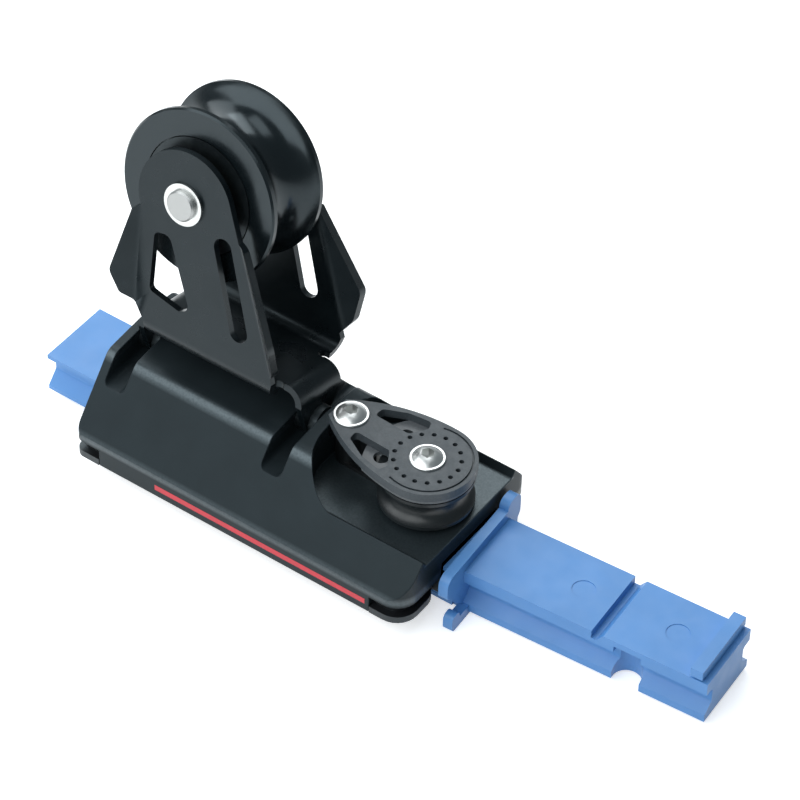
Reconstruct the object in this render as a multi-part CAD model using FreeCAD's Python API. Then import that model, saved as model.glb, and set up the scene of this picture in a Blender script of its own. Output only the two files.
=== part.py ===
"""Genoa lead car with a tilting sheave housing, a control-line block and a loader.

Millimetres. +X runs along the track towards the control block, +Y away from the block's
near side, +Z up. The origin is on the car's centre line, half-way along the car, in the
plane that the loader's lower rib stands on.
"""
import FreeCAD
import Part

import math
import os

from FreeCAD import Vector

# Clearances
RUN_GAP = 0.05
FIT_GAP = 0.1
SEAT_GAP = 0.2
SLIDE_GAP = 0.3

# Track section of the loader
LOADER_FOOT = 3.8
TRACK_HEIGHT = 19.7
TRACK_HALF = 17.8
TRACK_GROOVE_HALF = 12.6
TRACK_EDGE = 2.0
BALL_R = 3.2

# Car body
CAR_LENGTH = 168.0
CAR_HALF = 45.5
LIP_BOTTOM = 9.5
LIP_TOP = 21.5
CREASE_HALF = 22.0
CREASE_Z = 51.5
RIDGE_Z = 53.5
LIP_R = 2.5
CREASE_R = 6.0
RIDGE_R = 40.0
PLAN_R = 10.0
CHANNEL_SIDE = 0.8
CHANNEL_TOP_GAP = 2.5

# Pocket for the control block
POCKET_X = 16.0
POCKET_Z = 34.5
POCKET_FLAT_HALF = 30.0
POCKET_BEVEL_DROP = 1.5
POCKET_BEVEL_RUN = 5.0
POCKET_WALL_R = 23.0
POCKET_WALL_HALF = 30.5
POCKET_FLARE = 8.5

# Hinge of the sheave housing
HINGE_Z = 48.0
HINGE_PIN_R = 4.0
HINGE_LUG_R = 7.4
SLOT_WIDTH = 10.0
SLOT_FLOOR_GAP = 0.6
HINGE_CLIP_R = 5.2
HINGE_CLIP_T = 1.0
HINGE_PIN_INSET = 0.6
REST_LEAN = 12.5

# Folded sheave housing
SHEET = 3.0
CHEEK_HALF = 26.0
BASE_CENTRE_X = -34.25
TAB_HALF_SPAN = 41.95
TAB_HALF = 14.0
TAB_BEND_R = 8.5
BASE_BEND_R = 8.0
FLOOR_H = 16.1
AXLE_X = -54.0
AXLE_H = 85.6
HEAD_R = 23.0
BASE_LEFT_X = -66.5
BASE_RIGHT_X = -1.0
LEFT_EDGE_TOP = (-20.2, -11.0)
LEFT_EDGE_FOOT = (-17.1, -55.4)
LEFT_WINDOW = [(-12.4, -19.0, 2.5), (-5.0, -17.4, 4.0), (9.2, -46.8, 3.0), (4.6, -49.6, 2.5), (-11.2, -46.4, 2.5)]
RIGHT_SLOT_TOP = (20.8, -11.4)
RIGHT_SLOT_FOOT = (34.0, -45.4)
RIGHT_SLOT_WIDTH = 8.7
WING_BEND_R = 2.5
WING_ANGLE = 45.0
WING_WIDTH = 11.4

# Main sheave and its bearing
SHEAVE_R = 37.5
SHEAVE_HALF = 17.5
SHEAVE_RIM = 2.8
SHEAVE_TREAD_R = 26.5
AXLE_R = 6.6
AXLE_PROUD = 3.6
AXLE_CLIP_T = 1.4
AXLE_CLIP_R = 9.2
AXLE_GROOVE_DEPTH = 0.9
RACE_R = 11.0
RACE_PROUD = 1.2
ROLLER_R = 3.0
ROLLER_COUNT = 12
CAP_R = 25.4
CAP_SEAT_R = 25.9
CAP_T = 1.6
SPACER_R = 15.0

# Control block on the pocket floor
HUB_X = 62.5
COVER_TOP = 58.0
COVER_T = 4.0
COVER_HEAD_R = 20.7
COVER_TIP_X = 15.8
COVER_TIP_R = 9.4
TIP_SCREW_X = 25.2
CONTROL_SHEAVE_R = 20.0
CONTROL_SHEAVE_BOTTOM = 36.8
CONTROL_SHEAVE_TOP = 51.6
CONTROL_RIM = 1.6
CONTROL_TREAD_R = 15.6
CONTROL_BASE_T = 2.0
CONTROL_BASE_R = 17.0
CONTROL_HUB_R = 7.0
CONTROL_ROLLER_R = 1.75
CONTROL_ROLLER_COUNT = 14
INNER_PLATE_T = 1.8
INNER_PLATE_R = 26.5
INNER_HOLE_R = 3.3
RING_R = 13.8
RING_HOLES = 17
RING_HOLE_R = 0.9
COVER_RIM = 1.6
COVER_GROOVE = 0.9
WINDOW_BAR_HALF = 3.9
WINDOW_R = 1.6
SCREW_R = 4.0
SCREW_HEAD_R = 7.4
SCREW_HEAD_H = 3.6
SCREW_SOCKET = 5.0
SCREW_SOCKET_DEPTH = 2.4
SCREW_FLOOR = 27.6

# Ball returns in the car's lips
BALL_PITCH = 17.5
BALLS_PER_ROW = 8
RETURN_Y = 31.0
CAP_LENGTH = 20.0
CAP_PROUD = 2.2
CAP_PLATE_T = 3.4
CAP_SLOT = 5.0
CAP_STEP = 3.4
CAP_INNER_HALF = 20.0

# Loader
LOADER_LEFT = -121.0
LOADER_STEP_X = 149.0
LOADER_END_X = 202.0
LOADER_BOW = 3.6
STEP_WIDTH = 6.5
STEP_DEPTH = 1.6
END_BLOCK_LENGTH = 8.2
END_BLOCK_RISE = 5.5
END_NOTCH = 1.0
SCOOP_X = 166.0
SCOOP_R = 9.0
EJECTOR_R = 5.3
EJECTOR_DEPTH = 0.25
LATCH_X = 86.0
LATCH_T = 5.5
RIB_TOP = 29.5
LOBE_TOP = 35.0
LOBE_Y = 22.5
LOBE_R = 4.6
RIB_HALF = 27.5
HOLLOW_HALF = 8.0
HOLLOW_DEPTH = 7.0

# Worked out from the values above
TRACK_TOP = LOADER_FOOT + TRACK_HEIGHT
TRACK_MID = LOADER_FOOT + TRACK_HEIGHT / 2
BALL_Y = TRACK_GROOVE_HALF + BALL_R + SEAT_GAP
CAR_END = CAR_LENGTH / 2
CHANNEL_HALF = TRACK_HALF + CHANNEL_SIDE
CHANNEL_TOP = TRACK_TOP + CHANNEL_TOP_GAP
TAB_CENTRES = [BASE_CENTRE_X - TAB_HALF_SPAN + SHEET / 2, BASE_CENTRE_X + TAB_HALF_SPAN - SHEET / 2]
PIN_LEFT = -CAR_END + HINGE_PIN_INSET
PIN_RIGHT = POCKET_X - HINGE_PIN_INSET
CONTROL_BASE_TOP = POCKET_Z + CONTROL_BASE_T
COVER_BOTTOM = COVER_TOP - COVER_T
FAR_AWAY = 400.0


def yz(x):
    """Place a flat point (y, z) in the cross plane at this X."""
    return lambda u, v: Vector(x, u, v)


def xz(y):
    """Place a flat point (x, z) in the lengthwise plane at this Y."""
    return lambda u, v: Vector(u, y, v)


def xy(z):
    """Place a flat point (x, y) in the level plane at this Z."""
    return lambda u, v: Vector(u, v, z)


def outline(corners, place):
    """Close a wire through (u, v, radius) corners, each rounded by a tangent arc."""
    marks = []
    count = len(corners)
    for index, (u, v, radius) in enumerate(corners):
        here = Vector(u, v, 0)
        back = Vector(*corners[index - 1][:2], 0) - here
        ahead = Vector(*corners[(index + 1) % count][:2], 0) - here
        if radius <= 0:
            marks.append((here, None, here))
            continue
        back.normalize()
        ahead.normalize()
        half = back.getAngle(ahead) / 2
        reach = radius / math.tan(half)
        inward = back + ahead
        inward.normalize()
        middle = here + inward * (radius / math.sin(half) - radius)
        marks.append((here + back * reach, middle, here + ahead * reach))
    edges = []
    for index, (start, middle, end) in enumerate(marks):
        if middle is not None:
            arc = Part.Arc(place(start.x, start.y), place(middle.x, middle.y), place(end.x, end.y))
            edges.append(arc.toShape())
        after = marks[(index + 1) % count][0]
        if (after - end).Length > 1e-6:
            edges.append(Part.makeLine(place(end.x, end.y), place(after.x, after.y)))
    return Part.Wire(Part.__sortEdges__(edges))


def prism(corners, place, along):
    """Extrude a rounded outline by a vector."""
    return Part.Face(outline(corners, place)).extrude(along)


def box(x0, x1, y0, y1, z0, z1):
    return Part.makeBox(x1 - x0, y1 - y0, z1 - z0, Vector(x0, y0, z0))


def rod(radius, x, y, z, length, axis):
    return Part.makeCylinder(radius, length, Vector(x, y, z), axis)


def ring(outer, inner, x, y, z, length, axis):
    return rod(outer, x, y, z, length, axis).cut(rod(inner, x, y, z, length, axis))


X_AXIS = Vector(1, 0, 0)
Y_AXIS = Vector(0, 1, 0)
Z_AXIS = Vector(0, 0, 1)


def mirrored(shape):
    """The same shape on the other side of the centre line."""
    return shape.mirror(Vector(0, 0, 0), Y_AXIS)


def both_sides(shape):
    return shape.fuse(mirrored(shape))


def joined(shapes):
    return shapes[0].multiFuse(shapes[1:]).removeSplitter() if len(shapes) > 1 else shapes[0]


def teardrop(big_x, big_r, small_x, small_r, z0, z1):
    """A level teardrop plate round two centres on the X axis."""
    lean = math.asin((big_r - small_r) / (big_x - small_x))
    points = []
    for x, r in ((big_x, big_r), (small_x, small_r)):
        points.append((x - r * math.sin(lean), r * math.cos(lean)))
    (bx, by), (sx, sy) = points
    place = xy(z0)
    edges = [
        Part.Arc(place(bx, by), place(big_x + big_r, 0), place(bx, -by)).toShape(),
        Part.makeLine(place(bx, -by), place(sx, -sy)),
        Part.Arc(place(sx, -sy), place(small_x - small_r, 0), place(sx, sy)).toShape(),
        Part.makeLine(place(sx, sy), place(bx, by)),
    ]
    return Part.Face(Part.Wire(edges)).extrude(Vector(0, 0, z1 - z0))


# Car body

def car_section():
    return [
        (-CAR_HALF, LIP_BOTTOM, 0.8), (CAR_HALF, LIP_BOTTOM, 0.8), (CAR_HALF, LIP_TOP, LIP_R),
        (CREASE_HALF, CREASE_Z, CREASE_R), (0, RIDGE_Z, RIDGE_R), (-CREASE_HALF, CREASE_Z, CREASE_R),
        (-CAR_HALF, LIP_TOP, LIP_R),
    ]


def pocket_cut():
    """What is milled away above the pocket floor, with a round flared end wall."""
    floor = [
        (-FAR_AWAY, POCKET_Z - POCKET_BEVEL_DROP, 0),
        (-POCKET_FLAT_HALF - POCKET_BEVEL_RUN, POCKET_Z - POCKET_BEVEL_DROP, 0),
        (-POCKET_FLAT_HALF, POCKET_Z, 0), (POCKET_FLAT_HALF, POCKET_Z, 0),
        (POCKET_FLAT_HALF + POCKET_BEVEL_RUN, POCKET_Z - POCKET_BEVEL_DROP, 0),
        (FAR_AWAY, POCKET_Z - POCKET_BEVEL_DROP, 0), (FAR_AWAY, FAR_AWAY, 0), (-FAR_AWAY, FAR_AWAY, 0),
    ]
    level = prism(floor, yz(POCKET_X), Vector(FAR_AWAY, 0, 0))
    flare_x = POCKET_X + 2 * POCKET_WALL_R
    wall = [
        (POCKET_X, -POCKET_WALL_HALF, POCKET_WALL_R), (flare_x, -POCKET_WALL_HALF - POCKET_FLARE, 0),
        (FAR_AWAY, -POCKET_WALL_HALF - POCKET_FLARE, 0), (FAR_AWAY, POCKET_WALL_HALF + POCKET_FLARE, 0),
        (flare_x, POCKET_WALL_HALF + POCKET_FLARE, 0), (POCKET_X, POCKET_WALL_HALF, POCKET_WALL_R),
    ]
    return level.common(prism(wall, xy(0), Vector(0, 0, FAR_AWAY)))


def lip_cut(side):
    """The notch that a ball-return cap fills at one end of one lip, seen from +X."""
    start = CAR_END - CAP_LENGTH
    top = LIP_BOTTOM + CAP_PLATE_T + CAP_SLOT
    inner = CAP_INNER_HALF
    cut = box(start, CAR_END + CAP_PROUD, inner, CAR_HALF + 1, LIP_BOTTOM - 1, top)
    return cut if side > 0 else mirrored(cut)


def make_car_body():
    body = prism(car_section(), yz(-CAR_END), Vector(CAR_LENGTH, 0, 0))
    plan = [
        (-CAR_END, -CAR_HALF, PLAN_R), (CAR_END, -CAR_HALF, PLAN_R),
        (CAR_END, CAR_HALF, PLAN_R), (-CAR_END, CAR_HALF, PLAN_R),
    ]
    body = body.common(prism(plan, xy(0), Vector(0, 0, FAR_AWAY)))
    channel = [
        (-CHANNEL_HALF, 0, 0), (CHANNEL_HALF, 0, 0),
        (CHANNEL_HALF, CHANNEL_TOP, 1.0), (-CHANNEL_HALF, CHANNEL_TOP, 1.0),
    ]
    cuts = [prism(channel, yz(-CAR_END - 1), Vector(CAR_LENGTH + 2, 0, 0)), pocket_cut()]
    for side in (-1, 1):
        race_r = BALL_R + SEAT_GAP
        cuts.append(rod(race_r, -CAR_END, side * BALL_Y, TRACK_MID, CAR_LENGTH, X_AXIS))
        cuts.append(rod(race_r, -CAR_END, side * RETURN_Y, TRACK_MID, CAR_LENGTH, X_AXIS))
        for end in (-1, 1):
            notch = lip_cut(side)
            cuts.append(notch if end > 0 else notch.mirror(Vector(0, 0, 0), X_AXIS))
    slot_floor = HINGE_Z - HINGE_LUG_R - SLOT_FLOOR_GAP
    for centre in TAB_CENTRES:
        cuts.append(box(centre - SLOT_WIDTH / 2, centre + SLOT_WIDTH / 2, -CAR_HALF, CAR_HALF, slot_floor, FAR_AWAY))
    cuts.append(rod(HINGE_PIN_R + RUN_GAP, -CAR_END - 1, 0, HINGE_Z, CAR_LENGTH, X_AXIS))
    for x in (HUB_X, TIP_SCREW_X):
        cuts.append(rod(SCREW_R + RUN_GAP, x, 0, SCREW_FLOOR - FIT_GAP, FAR_AWAY, Z_AXIS))
    return body.cut(Part.makeCompound(cuts))


def make_end_cap():
    """A ball-return cap for the far lip at the +X end."""
    start = CAR_END - CAP_LENGTH + FIT_GAP
    end = CAR_END + CAP_PROUD
    top = LIP_BOTTOM + CAP_PLATE_T + CAP_SLOT - FIT_GAP
    inner = CAP_INNER_HALF + FIT_GAP
    plate = [
        (start, inner, 0), (end, inner, 3.0), (end, CAR_HALF, PLAN_R), (start, CAR_HALF, 0),
    ]
    core = [
        (start, inner, 0), (CAR_END - CAP_STEP, inner, 0),
        (CAR_END - CAP_STEP, CAR_HALF - CAP_STEP, PLAN_R - CAP_STEP), (start, CAR_HALF - CAP_STEP, 0),
    ]
    cap = prism(plate, xy(LIP_BOTTOM), Vector(0, 0, CAP_PLATE_T))
    cap = cap.fuse(prism(core, xy(LIP_BOTTOM), Vector(0, 0, top - LIP_BOTTOM)))
    race_r = BALL_R + SEAT_GAP
    turn_r = (RETURN_Y - BALL_Y) / 2
    turn_y = (RETURN_Y + BALL_Y) / 2
    turn = Part.makeTorus(turn_r, race_r, Vector(start, turn_y, TRACK_MID), Z_AXIS)
    return cap.cut(turn).removeSplitter()


def make_load_balls(side):
    first = -BALL_PITCH * (BALLS_PER_ROW - 1) / 2
    balls = []
    for index in range(BALLS_PER_ROW):
        centre = Vector(first + index * BALL_PITCH, side * BALL_Y, TRACK_MID)
        balls.append(Part.makeSphere(BALL_R, centre))
    return Part.makeCompound(balls)


def make_hinge_pin():
    pin = rod(HINGE_PIN_R, PIN_LEFT, 0, HINGE_Z, PIN_RIGHT - PIN_LEFT, X_AXIS)
    return pin.makeChamfer(0.5, [edge for edge in pin.Edges if edge.Closed])


def make_hinge_washers(centre):
    """The two thrust washers that keep one lug in the middle of its slot."""
    washers = []
    width = (SLOT_WIDTH - SHEET) / 2 - 2 * FIT_GAP
    for side in (-1, 1):
        inner = centre + side * (SHEET / 2 + FIT_GAP)
        x = inner if side > 0 else inner - width
        washers.append(ring(HINGE_LUG_R - 0.4, HINGE_PIN_R + FIT_GAP, x, 0, HINGE_Z, width, X_AXIS))
    return washers


# Sheave housing, first built upright with its hinge axis on the X axis

def lean_back(shape):
    """Put a housing piece, built upright on the X axis, at its rest lean on the hinge."""
    placed = shape.copy()
    placed.rotate(Vector(0, 0, 0), X_AXIS, -REST_LEAN)
    placed.translate(Vector(0, 0, HINGE_Z))
    return placed


def from_axle(point):
    """A flat point given from the sheave's axle, in the upright housing's own plane."""
    return (AXLE_X + point[0], AXLE_H + point[1]) + tuple(point[2:])


def right_edge():
    """The straight right edge of a cheek, tangent to its round head, top point then foot."""
    foot = Vector(BASE_RIGHT_X, FLOOR_H + BASE_BEND_R, 0)
    head = Vector(AXLE_X, AXLE_H, 0)
    span = foot - head
    turn = math.acos(HEAD_R / span.Length)
    start = math.atan2(span.y, span.x) + turn
    top = head + Vector(math.cos(start), math.sin(start), 0) * HEAD_R
    return (top.x, top.y), (foot.x, foot.y)


def cheek_outline():
    """Side outline of the folded cheeks, down to the underside of the floor."""
    (top_x, top_h), (foot_x, foot_h) = right_edge()
    left_x, left_h = from_axle(LEFT_EDGE_TOP)
    low_x, low_h = from_axle(LEFT_EDGE_FOOT)
    place = xz(-CHEEK_HALF - 1)
    reach = math.hypot(left_x - AXLE_X, left_h - AXLE_H)
    crown = place(AXLE_X - 0.15 * reach, AXLE_H + HEAD_R * math.sqrt(1 - 0.0225))
    points = [
        (top_x, top_h), (foot_x, foot_h), (foot_x - 1.5, FLOOR_H - 0.1), (BASE_LEFT_X + 1.5, FLOOR_H - 0.1),
        (BASE_LEFT_X, foot_h), (low_x, low_h), (left_x, left_h),
    ]
    edges = [Part.makeLine(place(*points[i]), place(*points[i + 1])) for i in range(len(points) - 1)]
    edges.append(Part.Arc(place(left_x, left_h), crown, place(top_x, top_h)).toShape())
    return Part.Face(Part.Wire(edges)).extrude(Vector(0, 2 * CHEEK_HALF + 2, 0))


def make_wing(top, foot, sign):
    """A wing folded out of a near cheek's edge; sign is the side of the edge it lies on."""
    run = Vector(foot[0] - top[0], 0, foot[1] - top[1])
    length = run.Length
    run.normalize()
    out = Vector(-run.z, 0, run.x) if sign > 0 else Vector(run.z, 0, -run.x)
    angle = math.radians(WING_ANGLE)
    inner_r = WING_BEND_R
    outer_r = WING_BEND_R + SHEET

    def turned(radius, part):
        return (radius * math.sin(part), WING_BEND_R - radius * math.cos(part))

    flat = WING_WIDTH
    tip = (flat * math.cos(angle), flat * math.sin(angle))
    inner_end = turned(inner_r, angle)
    outer_end = turned(outer_r, angle)
    start = Vector(top[0], -CHEEK_HALF, top[1])

    def place(u, v):
        return start + out * u + Vector(0, -v, 0)

    def spot(pair):
        return place(*pair)

    far_inner = (inner_end[0] + tip[0], inner_end[1] + tip[1])
    far_outer = (outer_end[0] + tip[0], outer_end[1] + tip[1])
    edges = [
        Part.makeLine(place(-2, -SHEET), place(-2, 0)),
        Part.makeLine(place(-2, 0), place(0, 0)),
        Part.Arc(place(0, 0), spot(turned(inner_r, angle / 2)), spot(inner_end)).toShape(),
        Part.makeLine(spot(inner_end), spot(far_inner)),
        Part.makeLine(spot(far_inner), spot(far_outer)),
        Part.makeLine(spot(far_outer), spot(outer_end)),
        Part.Arc(spot(outer_end), spot(turned(outer_r, angle / 2)), place(0, -SHEET)).toShape(),
        Part.makeLine(place(0, -SHEET), place(-2, -SHEET)),
    ]
    strip = Part.Face(Part.Wire(edges)).extrude(run * length)
    reach = far_inner[0] + 1.2
    shape = [(-3, 0, 0), (0, 0, 0), (reach, 0.70 * length, 4.5), (reach - 1.4, 0.84 * length, 6.0), (0, length, 0), (-3, length, 0)]
    corner = start + Vector(0, SHEET + 1, 0)
    face = outline(shape, lambda u, v: corner + out * u + run * v)
    return strip.common(Part.Face(face).extrude(Vector(0, -WING_WIDTH - 2 * SHEET, 0)))


def make_tab_strip():
    """The floor strip that runs past the cheeks and curls down to a lug at each end."""
    left = BASE_CENTRE_X - TAB_HALF_SPAN
    right = BASE_CENTRE_X + TAB_HALF_SPAN
    top = FLOOR_H + SHEET
    foot = -HINGE_LUG_R - 1
    strip = [
        (left, foot, 0), (left, top, TAB_BEND_R), (right, top, TAB_BEND_R), (right, foot, 0),
        (right - SHEET, foot, 0), (right - SHEET, FLOOR_H, TAB_BEND_R - SHEET),
        (left + SHEET, FLOOR_H, TAB_BEND_R - SHEET), (left + SHEET, foot, 0),
    ]
    strip = prism(strip, xz(-TAB_HALF), Vector(0, 2 * TAB_HALF, 0))
    lug = rod(HINGE_LUG_R, left - 1, 0, 0, right - left + 2, X_AXIS)
    slope = math.asin((TAB_HALF - HINGE_LUG_R) / (FLOOR_H - TAB_BEND_R + SHEET))
    rise = HINGE_LUG_R * math.sin(slope)
    half = HINGE_LUG_R * math.cos(slope)
    shoulder = FLOOR_H + SHEET - TAB_BEND_R
    taper = [
        (-half, -rise, 0), (half, -rise, 0), (TAB_HALF, shoulder, 2.0), (TAB_HALF, top + 1, 0),
        (-TAB_HALF, top + 1, 0), (-TAB_HALF, shoulder, 2.0),
    ]
    taper = prism(taper, yz(left - 1), Vector(right - left + 2, 0, 0))
    return strip.common(lug.fuse(taper))


def make_gusset(side):
    """A pressed stiffening rib inside the middle of a tab's bend."""
    x = BASE_CENTRE_X + side * (TAB_HALF_SPAN - SHEET)
    leg = TAB_BEND_R
    corners = [(x, FLOOR_H, 0), (x - side * leg, FLOOR_H, 0), (x, FLOOR_H - leg, 0)]
    return prism(corners, xz(-SHEET / 2), Vector(0, SHEET, 0))


def make_sheave_housing():
    deep = FLOOR_H - 0.1
    tall = AXLE_H + HEAD_R + 1
    left = AXLE_X - HEAD_R - 1
    right = BASE_RIGHT_X + 1
    inner = CHEEK_HALF - SHEET
    outer_u = [
        (-CHEEK_HALF, tall, 0), (-CHEEK_HALF, FLOOR_H, BASE_BEND_R), (CHEEK_HALF, FLOOR_H, BASE_BEND_R), (CHEEK_HALF, tall, 0),
    ]
    inner_u = [
        (-inner, tall, 0), (-inner, FLOOR_H + SHEET, BASE_BEND_R - SHEET),
        (inner, FLOOR_H + SHEET, BASE_BEND_R - SHEET), (inner, tall, 0),
    ]
    fold = prism(outer_u, yz(left), Vector(right - left, 0, 0))
    fold = fold.cut(prism(inner_u, yz(left - 1), Vector(right - left + 2, 0, 0)))
    fold = fold.common(cheek_outline())
    pieces = [fold, make_tab_strip(), make_gusset(-1), make_gusset(1)]
    top, foot = right_edge()
    wing_top = (top[0] + 0.24 * (foot[0] - top[0]), top[1] + 0.24 * (foot[1] - top[1]))
    wing_foot = (top[0] + 0.95 * (foot[0] - top[0]), top[1] + 0.95 * (foot[1] - top[1]))
    for near in (make_wing(wing_top, wing_foot, 1), make_wing(from_axle(LEFT_EDGE_TOP), from_axle(LEFT_EDGE_FOOT), -1)):
        pieces += [near, mirrored(near)]
    housing = joined(pieces)
    through = Vector(0, 2 * CHEEK_HALF + 2, 0)
    side = xz(-CHEEK_HALF - 1)
    slot_run = Vector(RIGHT_SLOT_FOOT[0] - RIGHT_SLOT_TOP[0], RIGHT_SLOT_FOOT[1] - RIGHT_SLOT_TOP[1], 0)
    slot_run.normalize()
    half = RIGHT_SLOT_WIDTH / 2
    across = Vector(slot_run.y, -slot_run.x, 0) * half
    ends = [Vector(*RIGHT_SLOT_TOP, 0) - slot_run * half, Vector(*RIGHT_SLOT_FOOT, 0) + slot_run * half]
    slot = []
    for end, sign in ((0, 1), (0, -1), (1, -1), (1, 1)):
        spot = ends[end] + across * sign
        slot.append(from_axle((spot.x, spot.y, half * 0.999)))
    cuts = [
        prism([from_axle(corner) for corner in LEFT_WINDOW], side, through),
        prism(slot, side, through),
        rod(AXLE_R + RUN_GAP, AXLE_X, -CHEEK_HALF - 1, AXLE_H, 2 * CHEEK_HALF + 2, Y_AXIS),
        rod(HINGE_PIN_R + RUN_GAP, -CAR_LENGTH, 0, 0, 2 * CAR_LENGTH, X_AXIS),
    ]
    return lean_back(housing.cut(Part.makeCompound(cuts)))


def turned_about_axle(profile):
    """Turn a closed (radius, across) outline about the sheave's axle and lean it back."""
    wire = outline(profile, lambda u, v: Vector(AXLE_X + u, v, AXLE_H))
    return lean_back(Part.Face(wire).revolve(Vector(AXLE_X, 0, AXLE_H), Y_AXIS, 360))


def make_main_axle():
    half = CHEEK_HALF + AXLE_PROUD
    groove_in = CHEEK_HALF + FIT_GAP
    groove_out = groove_in + AXLE_CLIP_T
    waist = AXLE_R - AXLE_GROOVE_DEPTH
    profile = [
        (0, -half, 0), (AXLE_R - 0.7, -half, 0), (AXLE_R, -half + 0.7, 0), (AXLE_R, -groove_out, 0),
        (waist, -groove_out, 0), (waist, -groove_in, 0), (AXLE_R, -groove_in, 0), (AXLE_R, groove_in, 0),
        (waist, groove_in, 0), (waist, groove_out, 0), (AXLE_R, groove_out, 0), (AXLE_R, half - 0.7, 0),
        (AXLE_R - 0.7, half, 0), (0, half, 0),
    ]
    return turned_about_axle(profile)


def make_axle_clip(side):
    inner = AXLE_R - AXLE_GROOVE_DEPTH + RUN_GAP
    low = CHEEK_HALF + FIT_GAP + RUN_GAP
    high = CHEEK_HALF + FIT_GAP + AXLE_CLIP_T - RUN_GAP
    profile = [(inner, side * low, 0), (AXLE_CLIP_R, side * low, 0), (AXLE_CLIP_R, side * high, 0), (inner, side * high, 0)]
    return turned_about_axle(profile)


def make_main_race():
    half = SHEAVE_HALF + RACE_PROUD
    bore = AXLE_R + RUN_GAP
    return turned_about_axle([(bore, -half, 0), (RACE_R, -half, 0), (RACE_R, half, 0), (bore, half, 0)])


def make_side_spacer(side):
    low = SHEAVE_HALF + RACE_PROUD + RUN_GAP
    high = CHEEK_HALF - SHEET - RUN_GAP
    bore = AXLE_R + RUN_GAP
    profile = [(bore, side * low, 0), (SPACER_R, side * low, 0), (SPACER_R, side * high, 0), (bore, side * high, 0)]
    return turned_about_axle(profile)


def roller_ring(pitch, radius, count, length, centre, axis, start):
    rollers = []
    for index in range(count):
        angle = 2 * math.pi * index / count
        if axis == Y_AXIS:
            foot = centre + Vector(pitch * math.cos(angle), start, pitch * math.sin(angle))
        else:
            foot = centre + Vector(pitch * math.cos(angle), pitch * math.sin(angle), start)
        rollers.append(Part.makeCylinder(radius, length, foot, axis))
    return Part.makeCompound(rollers)


def make_main_rollers():
    half = SHEAVE_HALF - CAP_T - 1.5
    pitch = RACE_R + RUN_GAP + ROLLER_R
    rollers = roller_ring(pitch, ROLLER_R, ROLLER_COUNT, 2 * half, Vector(AXLE_X, 0, AXLE_H), Y_AXIS, -half)
    return lean_back(rollers)


def make_main_sheave():
    bore = RACE_R + 2 * ROLLER_R + 2 * RUN_GAP
    groove_half = SHEAVE_HALF - SHEAVE_RIM
    seat = SHEAVE_HALF - CAP_T - FIT_GAP
    place = xz
    depth = SHEAVE_R - SHEAVE_TREAD_R
    spots = [
        (bore, -seat), (CAP_SEAT_R, -seat), (CAP_SEAT_R, -SHEAVE_HALF), (SHEAVE_R - 0.8, -SHEAVE_HALF),
        (SHEAVE_R, -SHEAVE_HALF + 0.8), (SHEAVE_R, -groove_half),
    ]

    def spot(r, a):
        return Vector(AXLE_X + r, a, AXLE_H)

    edges = [Part.makeLine(spot(*spots[i]), spot(*spots[i + 1])) for i in range(len(spots) - 1)]
    edges.append(Part.Arc(spot(SHEAVE_R, -groove_half), spot(SHEAVE_R - depth, 0), spot(SHEAVE_R, groove_half)).toShape())
    back = [(r, -a) for r, a in reversed(spots)]
    edges += [Part.makeLine(spot(*back[i]), spot(*back[i + 1])) for i in range(len(back) - 1)]
    edges.append(Part.makeLine(spot(*back[-1]), spot(*spots[0])))
    sheave = Part.Face(Part.Wire(edges)).revolve(Vector(AXLE_X, 0, AXLE_H), Y_AXIS, 360)
    return lean_back(sheave)


def make_bearing_cap(side):
    low = SHEAVE_HALF - CAP_T
    inner = RACE_R + FIT_GAP
    high = SHEAVE_HALF
    profile = [(inner, side * low, 0), (CAP_R, side * low, 0), (CAP_R, side * high, 0), (inner, side * high, 0)]
    return turned_about_axle(profile)


# Control block

def make_control_base():
    """Foot plate with the wall that carries the small end of the cover."""
    foot = rod(CONTROL_BASE_R, HUB_X, 0, POCKET_Z, CONTROL_BASE_T, Z_AXIS)
    neck = box(TIP_SCREW_X, HUB_X, -COVER_TIP_R + 1, COVER_TIP_R - 1, POCKET_Z, CONTROL_BASE_TOP)
    post = teardrop(HUB_X, COVER_HEAD_R - 0.6, TIP_SCREW_X, COVER_TIP_R - 0.6, POCKET_Z, COVER_BOTTOM - INNER_PLATE_T)
    clear = rod(CONTROL_SHEAVE_R + 6.0, HUB_X, 0, CONTROL_BASE_TOP, FAR_AWAY, Z_AXIS)
    low_clear = box(HUB_X - CONTROL_SHEAVE_R - 1, FAR_AWAY, -FAR_AWAY, FAR_AWAY, 0, CONTROL_BASE_TOP)
    post = post.cut(clear).cut(low_clear)
    base = joined([foot, neck, post])
    holes = [
        rod(SCREW_R + RUN_GAP, HUB_X, 0, POCKET_Z - 1, FAR_AWAY, Z_AXIS),
        rod(SCREW_R + RUN_GAP, TIP_SCREW_X, 0, POCKET_Z - 1, FAR_AWAY, Z_AXIS),
    ]
    return base.cut(Part.makeCompound(holes))


def make_control_hub():
    hub = ring(CONTROL_HUB_R, SCREW_R + RUN_GAP, HUB_X, 0, CONTROL_BASE_TOP, COVER_BOTTOM - INNER_PLATE_T - CONTROL_BASE_TOP, Z_AXIS)
    return hub


def make_control_rollers():
    pitch = CONTROL_HUB_R + RUN_GAP + CONTROL_ROLLER_R
    length = CONTROL_SHEAVE_TOP - CONTROL_SHEAVE_BOTTOM - 1
    return roller_ring(pitch, CONTROL_ROLLER_R, CONTROL_ROLLER_COUNT, length, Vector(HUB_X, 0, 0), Z_AXIS, CONTROL_SHEAVE_BOTTOM + 0.5)


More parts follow.
